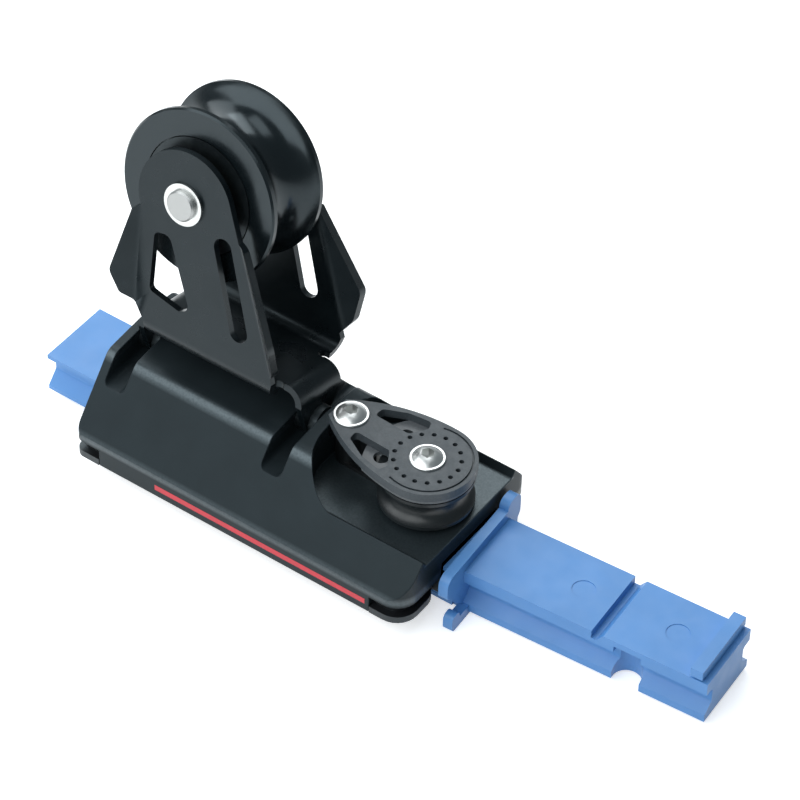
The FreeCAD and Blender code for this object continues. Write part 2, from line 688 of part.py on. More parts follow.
def make_control_sheave():
    bore = CONTROL_HUB_R + 2 * CONTROL_ROLLER_R + 2 * RUN_GAP
    low = CONTROL_SHEAVE_BOTTOM
    high = CONTROL_SHEAVE_TOP
    middle = (low + high) / 2

    def spot(r, z):
        return Vector(HUB_X + r, 0, z)

    edges = [
        Part.makeLine(spot(bore, low), spot(CONTROL_SHEAVE_R, low)),
        Part.makeLine(spot(CONTROL_SHEAVE_R, low), spot(CONTROL_SHEAVE_R, low + CONTROL_RIM)),
        Part.Arc(
            spot(CONTROL_SHEAVE_R, low + CONTROL_RIM), spot(CONTROL_TREAD_R, middle),
            spot(CONTROL_SHEAVE_R, high - CONTROL_RIM)).toShape(),
        Part.makeLine(spot(CONTROL_SHEAVE_R, high - CONTROL_RIM), spot(CONTROL_SHEAVE_R, high)),
        Part.makeLine(spot(CONTROL_SHEAVE_R, high), spot(bore, high)),
        Part.makeLine(spot(bore, high), spot(bore, low)),
    ]
    return Part.Face(Part.Wire(edges)).revolve(Vector(HUB_X, 0, 0), Z_AXIS, 360)


def make_inner_plate():
    """The lighter plate under the cover, with a round hole under each window."""
    plate = teardrop(
        HUB_X, COVER_HEAD_R - 0.6, TIP_SCREW_X, COVER_TIP_R - 0.6, COVER_BOTTOM - INNER_PLATE_T, COVER_BOTTOM)
    plate = plate.common(rod(INNER_PLATE_R, HUB_X, 0, 0, FAR_AWAY, Z_AXIS))
    holes = [rod(SCREW_R + RUN_GAP, HUB_X, 0, 0, FAR_AWAY, Z_AXIS)]
    for side in (-1, 1):
        holes.append(rod(INNER_HOLE_R, HUB_X - 17.1, side * 8.2, 0, FAR_AWAY, Z_AXIS))
    return plate.cut(Part.makeCompound(holes))


def cover_window(side):
    """One of the two triangular windows in the cover's neck, beside its middle bar."""
    near = side * WINDOW_BAR_HALF
    corners = [
        (HUB_X - 16.0, near, WINDOW_R), (HUB_X - 15.4, side * 13.6, WINDOW_R),
        (TIP_SCREW_X + 8.4, side * 8.6, WINDOW_R), (TIP_SCREW_X + 9.2, near, WINDOW_R),
    ]
    return prism(corners, xy(0), Vector(0, 0, FAR_AWAY))


def make_control_cover():
    cover = teardrop(HUB_X, COVER_HEAD_R, TIP_SCREW_X, COVER_TIP_R, COVER_BOTTOM, COVER_TOP)
    cuts = [
        rod(SCREW_R + RUN_GAP, HUB_X, 0, 0, FAR_AWAY, Z_AXIS), rod(SCREW_R + RUN_GAP, TIP_SCREW_X, 0, 0, FAR_AWAY, Z_AXIS),
        ring(COVER_HEAD_R - COVER_RIM, COVER_HEAD_R - COVER_RIM - COVER_GROOVE, HUB_X, 0, COVER_TOP - COVER_GROOVE, 2, Z_AXIS),
        cover_window(-1), cover_window(1),
    ]
    for index in range(RING_HOLES):
        angle = 2 * math.pi * index / RING_HOLES
        x = HUB_X + RING_R * math.cos(angle)
        cuts.append(rod(RING_HOLE_R, x, RING_R * math.sin(angle), COVER_BOTTOM - 1, FAR_AWAY, Z_AXIS))
    return cover.cut(Part.makeCompound(cuts))


def make_button_screw(x):
    """A domed socket screw standing on the cover."""
    dome_r = (SCREW_HEAD_R ** 2 + SCREW_HEAD_H ** 2) / (2 * SCREW_HEAD_H)
    ball = Part.makeSphere(dome_r, Vector(x, 0, COVER_TOP + SCREW_HEAD_H - dome_r))
    head = ball.common(rod(SCREW_HEAD_R + 1, x, 0, COVER_TOP, 2 * SCREW_HEAD_H, Z_AXIS))
    shank = rod(SCREW_R, x, 0, SCREW_FLOOR, COVER_TOP - SCREW_FLOOR + 1, Z_AXIS)
    corner = SCREW_SOCKET / 2 / math.cos(math.pi / 6)
    hexagon = [(x + corner * math.cos(k * math.pi / 3), corner * math.sin(k * math.pi / 3), 0) for k in range(6)]
    socket = prism(hexagon, xy(COVER_TOP + SCREW_HEAD_H - SCREW_SOCKET_DEPTH), Vector(0, 0, 10))
    return joined([head, shank]).cut(socket)


# Loader

def track_section(top, bottom, half):
    """Half-turn symmetric rail section with a ball groove along each side."""
    mid = (top + bottom) / 2
    arc_r = BALL_R + SEAT_GAP
    deep = TRACK_GROOVE_HALF
    waist = []
    for side, order in ((1, 1), (-1, -1)):
        waist += [
            (side * half, mid - order * (TRACK_HEIGHT / 2 - TRACK_EDGE), 0), (side * deep, mid - order * arc_r * 0.5, arc_r * 0.45),
            (side * deep, mid + order * arc_r * 0.5, arc_r * 0.45), (side * half, mid + order * (TRACK_HEIGHT / 2 - TRACK_EDGE), 0),
            (side * half, top if side > 0 else bottom, 0), (-side * half, top if side > 0 else bottom, 0),
        ]
    return waist


def make_loader():
    top = TRACK_TOP
    bottom = LOADER_FOOT
    section = track_section(top, bottom, TRACK_HALF)
    knee = LATCH_X + LATCH_T / 2
    inboard = prism(section, yz(LOADER_LEFT), Vector(knee - LOADER_LEFT, 0, 0))
    outboard = prism(section, yz(knee), Vector(LOADER_END_X - knee, 0, 0))
    block = box(LOADER_END_X - END_BLOCK_LENGTH, LOADER_END_X, -TRACK_HALF - 0.8, TRACK_HALF + 0.8, top - 1, top + END_BLOCK_RISE)
    outboard = outboard.fuse(block)
    cuts = [
        box(LOADER_STEP_X, LOADER_STEP_X + STEP_WIDTH, -TRACK_HALF, TRACK_HALF, top - STEP_DEPTH, top + 1),
        rod(SCOOP_R, SCOOP_X, -TRACK_HALF - 3, 0, TRACK_MID + 4, Z_AXIS),
        rod(EJECTOR_R, LATCH_X + 48, 1, top - EJECTOR_DEPTH, 1, Z_AXIS),
        rod(EJECTOR_R, SCOOP_X + 14, 1, top - EJECTOR_DEPTH, 1, Z_AXIS),
    ]
    for side in (-1, 1):
        low = min(side * TRACK_HALF, side * (TRACK_HALF + 2))
        cuts.append(box(LOADER_END_X - END_BLOCK_LENGTH - 1, LOADER_END_X + 1, low - 1, low + 3, top, top + END_NOTCH))
    outboard = outboard.cut(Part.makeCompound(cuts))
    outboard.rotate(Vector(knee, 0, 0), Z_AXIS, LOADER_BOW)
    mid = TRACK_MID
    frame = [
        (-RIB_HALF, top - 8, 2.0), (-RIB_HALF, RIB_TOP, 4.0), (LOBE_Y - LOBE_R, RIB_TOP, 0),
        (LOBE_Y - LOBE_R, LOBE_TOP, LOBE_R * 0.98), (LOBE_Y + LOBE_R, LOBE_TOP, LOBE_R * 0.98),
        (LOBE_Y + LOBE_R, top - 8, 2.0),
    ]
    upper = prism(frame, yz(LATCH_X), Vector(LATCH_T, 0, 0))
    lower = [(-LOBE_Y - LOBE_R - 1, 0, 2.5), (-LOBE_Y - LOBE_R - 1, 8.5, 2.0), (-LOBE_Y + 1, 8.5, 2.0), (-LOBE_Y + 1, bottom + 1, 0), (24, bottom + 1, 0), (24, 0, 2.0)]
    lower = prism(lower, yz(LATCH_X), Vector(LATCH_T, 0, 0))
    loader = joined([inboard, outboard, upper, lower])
    hollow = prism(
        [(-HOLLOW_HALF, bottom - 1, 0), (HOLLOW_HALF, bottom - 1, 0), (HOLLOW_HALF, bottom + HOLLOW_DEPTH, 2.0), (-HOLLOW_HALF, bottom + HOLLOW_DEPTH, 2.0)],
        yz(LOADER_LEFT + 6), Vector(LATCH_X - LOADER_LEFT - 12, 0, 0))
    return loader.cut(hollow)


def make_parts():
    parts = {"car_body": make_car_body()}
    cap = make_end_cap()
    for name, far in (("right", cap), ("left", cap.mirror(Vector(0, 0, 0), X_AXIS))):
        parts["far_" + name + "_end_cap"] = far
        parts["near_" + name + "_end_cap"] = mirrored(far)
    parts["near_load_balls"] = make_load_balls(-1)
    parts["far_load_balls"] = make_load_balls(1)
    parts["hinge_pin"] = make_hinge_pin()
    for end, centre in zip(("left", "right"), TAB_CENTRES):
        for side, washer in zip(("outer", "inner"), make_hinge_washers(centre)):
            parts[end + "_" + side + "_hinge_washer"] = washer
    parts["sheave_housing"] = make_sheave_housing()
    parts["main_axle"] = make_main_axle()
    parts["main_inner_race"] = make_main_race()
    for name, side in (("near", -1), ("far", 1)):
        parts[name + "_axle_clip"] = make_axle_clip(side)
        parts[name + "_side_spacer"] = make_side_spacer(side)
        parts[name + "_bearing_cap"] = make_bearing_cap(side)
    parts["main_rollers"] = make_main_rollers()
    parts["main_sheave"] = make_main_sheave()
    parts["control_base"] = make_control_base()
    parts["control_hub"] = make_control_hub()
    parts["control_rollers"] = make_control_rollers()
    parts["control_sheave"] = make_control_sheave()
    parts["control_inner_plate"] = make_inner_plate()
    parts["control_cover"] = make_control_cover()
    parts["hub_screw"] = make_button_screw(HUB_X)
    parts["tip_screw"] = make_button_screw(TIP_SCREW_X)
    parts["loader"] = make_loader()
    return parts


os.makedirs("parts", exist_ok=True)
for name, shape in make_parts().items():
    shape.exportStep("parts/" + name + ".step")
    print(name, "solids", len(shape.Solids), "valid", shape.isValid(), "volume", round(shape.Volume, 1))
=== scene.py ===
"""Shapes and finishes a genoa lead car and sets it in a plain studio.

The scene is in metres and the sizes of shapes are in mm. +X runs along the track towards
the small sheave, +Y away from the near side of the car, +Z up. The solids come from the
frame. The car body, its end caps, the housing, the control block, its screws and the
loader are drawn again here with finer form and stand for their solids; the other solids
only get their finishes. The red line along each lip, the floor, the lamps and the camera
are made here.
"""

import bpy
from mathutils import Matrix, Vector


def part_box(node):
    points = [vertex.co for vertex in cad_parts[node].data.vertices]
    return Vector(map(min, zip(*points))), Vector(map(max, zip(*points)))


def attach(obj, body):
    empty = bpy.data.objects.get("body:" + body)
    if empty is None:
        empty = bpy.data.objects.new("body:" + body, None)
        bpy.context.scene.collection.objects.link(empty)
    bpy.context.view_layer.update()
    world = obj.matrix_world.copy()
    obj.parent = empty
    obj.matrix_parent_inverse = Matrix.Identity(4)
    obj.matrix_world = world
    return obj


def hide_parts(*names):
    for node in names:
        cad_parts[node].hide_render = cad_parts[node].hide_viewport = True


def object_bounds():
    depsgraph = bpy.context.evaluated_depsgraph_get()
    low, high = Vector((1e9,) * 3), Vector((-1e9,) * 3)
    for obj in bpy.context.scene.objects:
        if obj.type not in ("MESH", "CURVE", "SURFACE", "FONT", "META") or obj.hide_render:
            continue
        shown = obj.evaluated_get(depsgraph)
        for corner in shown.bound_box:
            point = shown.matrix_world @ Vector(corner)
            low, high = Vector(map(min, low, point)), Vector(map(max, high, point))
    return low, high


bl_info = {
    "name": "Genoa lead car",
    "version": (1, 0, 0),
    "blender": (4, 5, 0),
    "location": "View3D > Sidebar > Lead car",
    "description": "Shapes and finishes of a genoa lead car and a plain studio",
    "category": "Object",
}

import math

import bmesh
import bpy
import numpy as np
from bpy.props import FloatProperty, FloatVectorProperty, PointerProperty
from bpy.types import Operator, Panel, PropertyGroup
from mathutils import Matrix, Vector
from mathutils.geometry import tessellate_polygon

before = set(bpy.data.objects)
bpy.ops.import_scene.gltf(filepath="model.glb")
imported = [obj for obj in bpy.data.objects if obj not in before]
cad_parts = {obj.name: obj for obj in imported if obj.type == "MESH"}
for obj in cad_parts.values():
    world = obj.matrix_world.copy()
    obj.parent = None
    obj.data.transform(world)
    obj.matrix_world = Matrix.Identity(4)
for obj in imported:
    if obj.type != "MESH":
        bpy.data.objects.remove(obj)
CAD_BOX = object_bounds()
MM = 0.001
# How far two faces are kept out of one plane, in mm
HAIR = 0.01
LIT_POINT = (0.0, 0.0, 0.06)
COOL = (0.78, 0.93, 1.0, 1)
WHITE = (1, 1, 1, 1)
SKY_COLOUR = (0.80, 0.93, 1.0, 1)
LAMP_COLOUR = (0.95, 0.985, 1.0)
FLOOR_GLOW = 0.55

# Angles in degrees: up to the first faces count as flat, past the second shading breaks,
# past the third an edge is broken
FLAT_ANGLE = 0.3
SHARP_ANGLE = 28
EDGE_ANGLE = 40

BALL_NODES = ["near_load_balls", "far_load_balls"]
WASHER_NODES = [
    "left_outer_hinge_washer", "left_inner_hinge_washer",
    "right_outer_hinge_washer", "right_inner_hinge_washer",
]
BEARING_NODES = ["main_rollers", "control_rollers", "near_side_spacer", "far_side_spacer"]
STEEL_NODES = ["hinge_pin", "main_inner_race", "near_axle_clip", "far_axle_clip"]

# Housing, in mm, upright: x along the hinge, h above it, window and slot about the axle, arcs in radians
LEAN = math.radians(12.5)
SHEET = 3.0
FLOOR_H = 16.1
FOLD_R = 8.0
CHEEK_HALF = 26.0
CHEEK_TOP = 110.0
CHEEK_R = 23.0
CHEEK_ARC = (0.4241, 3.6402)
CHEEK_EDGE = [(-74.2, 74.6), (-71.1, 30.2), (-66.5, 24.1), (-65.0, 16.0), (-2.5, 16.0), (-1.0, 24.1)]
AXLE_X = -54.0
AXLE_H = 85.6
AXLE_BORE_R = 6.65
LEFT_WINDOW = [
    (-12.4, -19.0, 2.5), (-5.0, -17.4, 4.0), (9.2, -46.8, 3.0), (4.6, -49.6, 2.5), (-11.2, -46.4, 2.5),
]
RIGHT_SLOT = [(20.8, -11.4), (34.0, -45.4)]
RIGHT_SLOT_R = 4.35
RELIEF_X = -3.5
RELIEF_Y = 16.0
RELIEF_R = 2.5
TAB_MIDDLE = -34.25
TAB_SPAN = 41.95
TAB_HALF = 14.0
TAB_FOOT = -8.4
TAB_FOLD_R = 8.5
GUSSET = 8.5
GUSSET_HALF = 1.5
LUG_R = 7.4
LUG_TURN = 0.672
LUG_SIDE = [(5.791, -4.607, 0), (TAB_HALF, 10.6, 2), (TAB_HALF, 20.1, 0)]

# Wings: bend and flare, top and foot of the edge each leaves, and outline as (reach out of
# the edge, share of its length, corner radius)
BEND_R = 2.5
FLARE = 11.4
RIGHT_EDGE = [(-25.35, 78.04), (-2.60, 27.65)]
LEFT_EDGE = CHEEK_EDGE[:2]
RIGHT_WING = [(0.0, -0.03, 0.0), (2.8, 0.03, 0.0), (9.6, 0.75, 8.0), (5.6, 0.95, 4.0), (0.0, 1.02, 0.0)]
LEFT_WING = [(0.0, -0.03, 0.0), (3.2, 0.02, 0.0), (8.8, 0.66, 8.0), (5.4, 0.90, 4.0), (0.0, 1.0, 0.0)]

# Car body, in mm
CAR_END = 84.0
CAR_HALF = 45.5
LIP_BOTTOM = 9.5
CAR_SIDE = [(CAR_HALF, LIP_BOTTOM, 0), (CAR_HALF, 21.5, 2.5), (22.0, 51.5, 6.0), (0.5, 53.4, 0)]
LEFT_PLAN_R = 4.0
RIGHT_PLAN_R = 10.0
CHANNEL_HALF = 18.6
CHANNEL_TOP = 26.0
RACE_ROWS = (16.0, 31.0)
RACE_AT = 13.65
RACE_R = 3.4
HINGE_AT = 48.0
PIN_BORE_R = 4.05
SLOTS = (-74.7, 6.2)
SLOT_HALF = 5.0
SLOT_R = 2.5
SLOT_FLOOR = 40.0
POCKET_X = 16.8
POCKET_Z = 34.5
POCKET_HALF = 30.0
POCKET_FLOOR_R = 1.5
POCKET_SLOPE = 0.72
POCKET_RISE = 60.0
POCKET_WALL_HALF = 32.9
POCKET_WALL_R = 25.2

# End caps and their notches, in mm
LEFT_CAP = 12.6
RIGHT_CAP = 17.0
CAP_INNER = 20.0
CAP_INNER_R = 8.0
CAP_PLATE = 3.4
CAP_STEP = 3.4
CAP_GAP = 0.1
NOTCH_LOW = 5.0
NOTCH_TOP = 17.9

# Where use has burnished the car body, in mm: a fade starts, is full, is last full and ends
LIP_WEAR = (18.6, 20.2, 21.4, 23.6)
CREASE_WEAR = (47.6, 49.6, 51.0, 51.9)
MILLED_X = (14.0, 15.0, 1000.0, 2000.0)
MILLED_Y = (-32.0, -31.0, 31.0, 32.0)
MILLED_Z = (33.9, 34.3, 34.8, 35.2)
MILLED_SHARE = 0.85

# The hinge and the axle in metres
HINGE_Z = HINGE_AT * MM
AXLE_CENTRE = (AXLE_X * MM, AXLE_H * MM * math.sin(LEAN), HINGE_Z + AXLE_H * MM * math.cos(LEAN))
AXLE_AXIS = (0, math.cos(LEAN), -math.sin(LEAN))

# Control block, in mm from its hub, u towards the tip; BLOCK_TURN in degrees, GROOVE_TURN in radians
HUB_X = 62.5
BLOCK_TURN = 2.6
BLOCK_TOP = 58.0
COVER_T = 4.0
HEAD_R = 20.6
FLANK_R = 80.0
TIP_U = 46.5
TIP_SCREW_U = 39.2
SCREW_HOLE_R = 4.1
RING_R = 13.8
RING_HOLES = 17
RING_HOLE_R = 1.05
GROOVE_INSETS = (1.6, 2.5)
GROOVE_TURN = 1.87
GROOVE_DEPTH = 0.9
WINDOW = [
    (31.8, 6.2, 1.6), (31.4, 10.8, 2.0), (21.5, 15.7, 10.0),
    (11.4, 17.4, 2.0), (9.9, 13.6, 1.5), (14.6, 6.2, 1.6),
]
PLATE_R = 26.7
PLATE_T = 1.8
PLATE_INSET = 0.6
PLATE_HOLE_U = 17.1
PLATE_HOLE_V = 8.2
PLATE_HOLE_R = 3.3
FOOT_R = 17.0
FOOT_T = 2.0
NECK_HALF = 6.2
NECK_T = 1.9
POST_R = 6.3
WEB_HALF = 1.5
WEB_U = 26.8
SCREW_SHANK_R = 4.0
SCREW_SHANK = 6.0
SCREW_RIM_R = 7.5
SCREW_RIM_T = 0.9
SCREW_RIM_BREAK = 0.3
SCREW_DOME_R = 6.4
SCREW_HEAD_H = 3.6
SCREW_SOCKET_R = 2.9

# Loader, in mm; hook, step, scoop and ejectors are measured from the latch; BOW in degrees
LOADER_START = -121.0
LATCH_X = 87.0
LATCH_T = 4.4
HOOK_X = 2.8
END_RUN = 116.2
BOW = 3.6
BOW_X = 46.0
RAIL_HALF = 17.8
RAIL_NECK = 12.6
RAIL_TOP = 23.5
HOLLOW_WALL = 6.0
HOLLOW_HALF = 8.0
HOLLOW_TOP = 10.8
INNER_SIDE = [
    (RAIL_HALF, 3.8, 0), (RAIL_HALF, 5.8, 0), (RAIL_NECK, 11.95, 1.5),
    (RAIL_NECK, 15.35, 1.5), (RAIL_HALF, 21.5, 0), (RAIL_HALF, RAIL_TOP, 0),
]
OUTER_SIDE = [
    (RAIL_HALF, 1.6, 0), (RAIL_HALF, 5.5, 0), (RAIL_NECK, 9.5, 1.5),
    (RAIL_NECK, 16.95, 1.5), (RAIL_HALF, 17.25, 0), (RAIL_HALF, RAIL_TOP, 0),
]
FIN = [
    (-30.8, 18.5, 2.0), (-30.8, 28.4, 4.5), (16.3, 28.4, 0), (16.3, 32.4, 3.5), (26.6, 32.4, 4.8),
    (26.6, 20.5, 3.0), (24.6, 18.0, 1.0), (24.6, 14.5, 1.0), (15.8, 14.5, 0), (-16.8, 2.6, 0),
]
HOOK = [
    (-30.8, 0, 2.5), (-30.8, 8.5, 2.5), (-25.0, 8.5, 2.5), (-25.0, 5.0, 1.0), (-16.8, 5.0, 0),
    (-16.8, 2.6, 0), (24.0, 2.6, 0), (24.0, 0, 1.0),
]
STEP_X = 63.4
STEP_FLOOR = 2.4
STEP_RAMP = 5.6
STEP_DEPTH = 4.0
SCOOP_X = 80.0
SCOOP_R = 6.3
SCOOP_IN = 1.8
SCOOP_ROOF = 3.0
EJECTOR_XS = (49.6, 92.9)
EJECTOR_R = 5.0
EJECTOR_DEPTH = 0.3
END_BLOCK_BACK = 8.2
END_BLOCK_FRONT = 2.6
END_BLOCK_H = 5.5
END_NOTCH_RUN = 9.2
END_NOTCH_IN = 3.0


# Sizes and colours that a user would change

def colour(name, description, default):
    """One paint colour as an add-on property, in linear light."""
    return FloatVectorProperty(
        name=name, description=description, default=default, subtype="COLOR", size=3, min=0, max=1)


def share(name, description, default):
    """One 0 to 1 amount as an add-on property."""
    return FloatProperty(name=name, description=description, default=default, subtype="FACTOR", min=0, max=1)


def length(name, description, default):
    """One length in metres as an add-on property."""
    return FloatProperty(name=name, description=description, default=default, unit="LENGTH", precision=5)


def angle(name, description, degrees):
    """One angle as an add-on property, given in degrees."""
    return FloatProperty(name=name, description=description, default=math.radians(degrees), subtype="ANGLE")


class LEADCAR_PG_body(PropertyGroup):
    """Anodised car body with its lips and end caps."""
    coat: colour("Anodising", "Black anodised skin of the car body", (0.0105, 0.0150, 0.0175))
    sheen: share("Roughness", "Satin of the blasted aluminium", 0.46)
    cap: colour("End caps", "Moulded ball-return caps", (0.008, 0.008, 0.009))
    edge: length("Edge break", "Width of the broken edges of the car body", 0.5 * MM)
    line: colour("Red line", "Thin line along each lip", (0.58, 0.018, 0.036))
    line_start: length("Line start", "X where the red line starts", -42 * MM)
    line_end: length("Line end", "X where the red line ends", 65 * MM)
    line_low: length("Line foot", "Z of the line's lower edge", 13.2 * MM)
    line_high: length("Line head", "Z of the line's upper edge", 16.0 * MM)


class LEADCAR_PG_housing(PropertyGroup):
    """Folded sheet housing that carries the large sheave."""
    coat: colour("Coating", "Black satin skin of the folded sheet", (0.0032, 0.0052, 0.0064))
    sheen: share("Roughness", "Satin of the folded sheet", 0.30)
    edge: length("Edge break", "Width of the tumbled sheet edges", 0.45 * MM)


class LEADCAR_PG_sheaves(PropertyGroup):
    """The two sheaves and their bearings."""
    coat: colour("Large sheave", "Hard anodised, turned aluminium", (0.0040, 0.0062, 0.0074))
    sheen: share("Roughness", "Polish of the turned groove", 0.20)
    cap: colour("Bearing caps", "Moulded caps over the rollers", (0.0035, 0.0050, 0.0058))
    bearing: colour("Rollers", "Bearing plastic of rollers, washers and balls", (0.10, 0.085, 0.045))


class LEADCAR_PG_block(PropertyGroup):
    """Control-line block on the pocket floor."""
    cover: colour("Cover", "Glass-filled cover plate", (0.045, 0.055, 0.063))
    plate: colour("Inner plate", "Plate under the cover's windows", (0.095, 0.104, 0.112))
    sheave: colour("Small sheave", "Moulded small sheave", (0.0085, 0.0115, 0.0130))
    post: colour("Post", "Moulded foot and post under the cover", (0.0040, 0.0050, 0.0055))


class LEADCAR_PG_steel(PropertyGroup):
    """Stainless pins, rings and screws."""
    tint: colour("Steel", "Stainless steel", (0.62, 0.63, 0.62))
    sheen: share("Roughness", "Polish of the steel", 0.22)


class LEADCAR_PG_loader(PropertyGroup):
    """Moulded loader that keeps the balls in when the car is off its track."""
    paint: colour("Plastic", "Blue moulded plastic", (0.085, 0.250, 0.560))
    sheen: share("Roughness", "Satin of the mould", 0.42)
    edge: length("Edge break", "Width of the moulded edge radius", 0.4 * MM)


class LEADCAR_PG_studio(PropertyGroup):
    """Camera, floor and lamps."""
    azimuth: angle("Azimuth", "Turn of the camera about Z", 34.1961)
    elevation: angle("Elevation", "Height of the camera", 44.4753)
    roll: angle("Roll", "Turn of the picture", -1.8787)
    distance: length("Distance", "Camera to the point it looks at", 1.60702)
    aim: FloatVectorProperty(
        name="Aim", description="Point in the middle of the picture",
        default=(0.043607, 0.006724, 0.074479), subtype="TRANSLATION")
    lens: FloatProperty(name="Lens", description="Focal length in mm on a 36 mm sensor", default=180, min=10)
    floor: colour("Floor", "Plain pale floor", (0.86, 0.86, 0.86))
    floor_size: length("Floor size", "Side of the square floor", 8.0)
    world: share("Room light", "Strength of the even light from all round", 0.24)


# Meshes

def new_object(name, points, faces):
    """An object in the scene from lists of points in metres and of faces."""
    mesh = bpy.data.meshes.new(name)
    mesh.from_pydata(points, [], faces)
    made = bpy.data.objects.new(name, mesh)
    bpy.context.scene.collection.objects.link(made)
    return made


def side_quads(rows, columns):
    """Quads of a grid whose columns close round.

    Point (i, j) has index i * columns + j, and a quad joins (i, j), (i, j + 1),
    (i + 1, j + 1) and (i + 1, j).
    """
    i, j = np.meshgrid(np.arange(rows - 1), np.arange(columns), indexing="ij")
    after = (j + 1) % columns
    corners = [i * columns + j, i * columns + after, (i + 1) * columns + after, (i + 1) * columns + j]
    return np.stack(corners, axis=-1).reshape(-1, 4)


def closed_grid(rows, columns):
    """Side quads with a cap at each end, made of quads between the mirrored halves of the ring."""
    half = np.arange(columns // 2 - 1)
    low = np.stack([half, columns - 1 - half, columns - 2 - half, half + 1], axis=-1)
    last = (rows - 1) * columns
    return np.concatenate([side_quads(rows, columns), low, last + low[:, ::-1]])


def soft_bar(low, high, radius, steps=6, rows=24):
    """A straight bar along X with rounded long edges and rounded ends.

    Its section is a rectangle whose corners are quarter circles: corner k turns from
    k * 90 to (k + 1) * 90 degrees about a centre one radius inside. Towards an end the
    section shrinks by radius * (1 - sqrt(1 - t * t)), t running from 0 to 1 over the
    last radius of the length, so that the ends are rounded too.
    """
    low, high = np.array(low), np.array(high)
    turn = np.linspace(0, np.pi / 2, steps)
    angle = (np.arange(4)[:, None] * np.pi / 2 + turn[None, :]).ravel()
    corner = np.repeat(np.array([[1, 1], [-1, 1], [-1, -1], [1, -1]]), steps, axis=0)
    half = (high[1:] - low[1:]) / 2 - radius
    middle = (high[1:] + low[1:]) / 2
    ease = np.linspace(0, 1, steps)
    ends = radius * (1 - np.sqrt(1 - ease ** 2))
    run = np.linspace(low[0] + radius, high[0] - radius, rows)
    x = np.concatenate([low[0] + radius * (1 - ease[::-1][:-1]), run, high[0] - radius * (1 - ease[1:])])
    shrink = np.concatenate([ends[::-1][:-1], np.zeros(rows), ends[1:]])
    reach = np.stack([np.cos(angle), np.sin(angle)], axis=-1)[None] * (radius - shrink)[:, None, None]
    section = middle + corner[None] * half + reach
    points = np.concatenate([np.broadcast_to(x[:, None, None], section.shape[:2] + (1,)), section], axis=-1)
    return points.reshape(-1, 3), closed_grid(len(x), len(angle))


def dress(nodes, material):
    """Give CAD nodes a finish."""
    for name in nodes:
        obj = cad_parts[name]
        obj.data.materials.clear()
        obj.data.materials.append(material)


def rounded(corners, steps=8):
    """Closed outline in mm through (x, y, radius) corners, each rounded by a tangent arc.

    With unit vectors a and b from corner p to its neighbours and h half the angle between
    them, an arc of radius r has its centre at p + (a + b) / |a + b| * r / sin(h) and
    meets the two sides at p + a * r / tan(h) and p + b * r / tan(h).
    """
    spots = np.array([corner[:2] for corner in corners], float)
    parts = []
    for index, (x, y, radius) in enumerate(corners):
        spot = spots[index]
        if not radius:
            parts.append(spot[None])
            continue
        a = spots[index - 1] - spot
        b = spots[(index + 1) % len(spots)] - spot
        a, b = a / np.linalg.norm(a), b / np.linalg.norm(b)
        half = np.arccos(np.clip(a @ b, -1, 1)) / 2
        centre = spot + (a + b) / np.linalg.norm(a + b) * radius / np.sin(half)
        start = spot + a * radius / np.tan(half) - centre
        end = spot + b * radius / np.tan(half) - centre
        first = np.arctan2(start[1], start[0])
        sweep = (np.arctan2(end[1], end[0]) - first + np.pi) % (2 * np.pi) - np.pi
        parts.append(centre + arc(radius, first, first + sweep, steps))
    return np.concatenate(parts)


def arc(radius, first, last, steps):
    """Points radius * (cos t, sin t) for t from first to last."""
    turn = np.linspace(first, last, steps)
    return radius * np.stack([np.cos(turn), np.sin(turn)], axis=-1)


def circle(x, y, radius, steps=32):
    """Closed circle of steps points about (x, y)."""
    return np.array([x, y]) + arc(radius, 0, 2 * np.pi * (1 - 1 / steps), steps)


def prism(name, outlines, low, high):
    """Upright solid in mm between two levels; every outline after the first is a hole.

    Outline points k and k + 1 carry the wall quad (k, k + 1, n + k + 1, n + k), with n
    points in all at the low level and their copies at the high level.
    """
    flat = np.concatenate(outlines)
    count = len(flat)
    cap = np.array(tessellate_polygon([np.pad(outline, ((0, 0), (0, 1))).tolist() for outline in outlines]))
    faces = cap.tolist() + (cap[:, ::-1] + count).tolist()
    start = 0
    for outline in outlines:
        here = start + np.arange(len(outline))
        after = start + (np.arange(len(outline)) + 1) % len(outline)
        faces += np.stack([here, after, after + count, here + count], axis=-1).tolist()
        start += len(outline)
    ends = [np.pad(flat, ((0, 0), (0, 1)), constant_values=level) for level in (low, high)]
    return solid(name, np.concatenate(ends), faces)


def across(name, outline, start, end):
    """Solid in mm whose (x, z) outline runs along Y."""
    made = prism(name, [outline], -end, -start)
    made.data.transform(Matrix.Rotation(math.radians(90), 4, "X"))
    return made


def both_sides(side):
    """Closed section from its +Y half, given upward."""
    return side + [(-y, z, radius) for y, z, radius in reversed(side)]


def along_x(name, outline, start, end):
    """Solid in mm whose (y, z) outline runs along X."""
    made = prism(name, [outline], start, end)
    made.data.transform(Matrix(((0, 0, 1, 0), (1, 0, 0, 0), (0, 1, 0, 0), (0, 0, 0, 1))))
    return made


def block(name, x0, x1, y0, y1, z0, z1):
    """Rectangular solid in mm."""
    return along_x(name, np.array([(y0, z0), (y1, z0), (y1, z1), (y0, z1)], float), x0, x1)


def revolved(name, profile, x, y, steps=64):
    """Solid in mm turned from a profile of (radius, z) that starts and ends on the axis."""
    profile = np.array(profile, float)
    turn = np.arange(steps) * 2 * np.pi / steps
    ring = profile[:, 0, None] * np.stack([np.cos(turn), np.sin(turn)])[:, None]
    level = np.broadcast_to(profile[:, 1, None], (len(profile), steps))
    points = np.stack([x + ring[0], y + ring[1], level], axis=-1).reshape(-1, 3)
    return solid(name, points, side_quads(len(profile), steps).tolist())


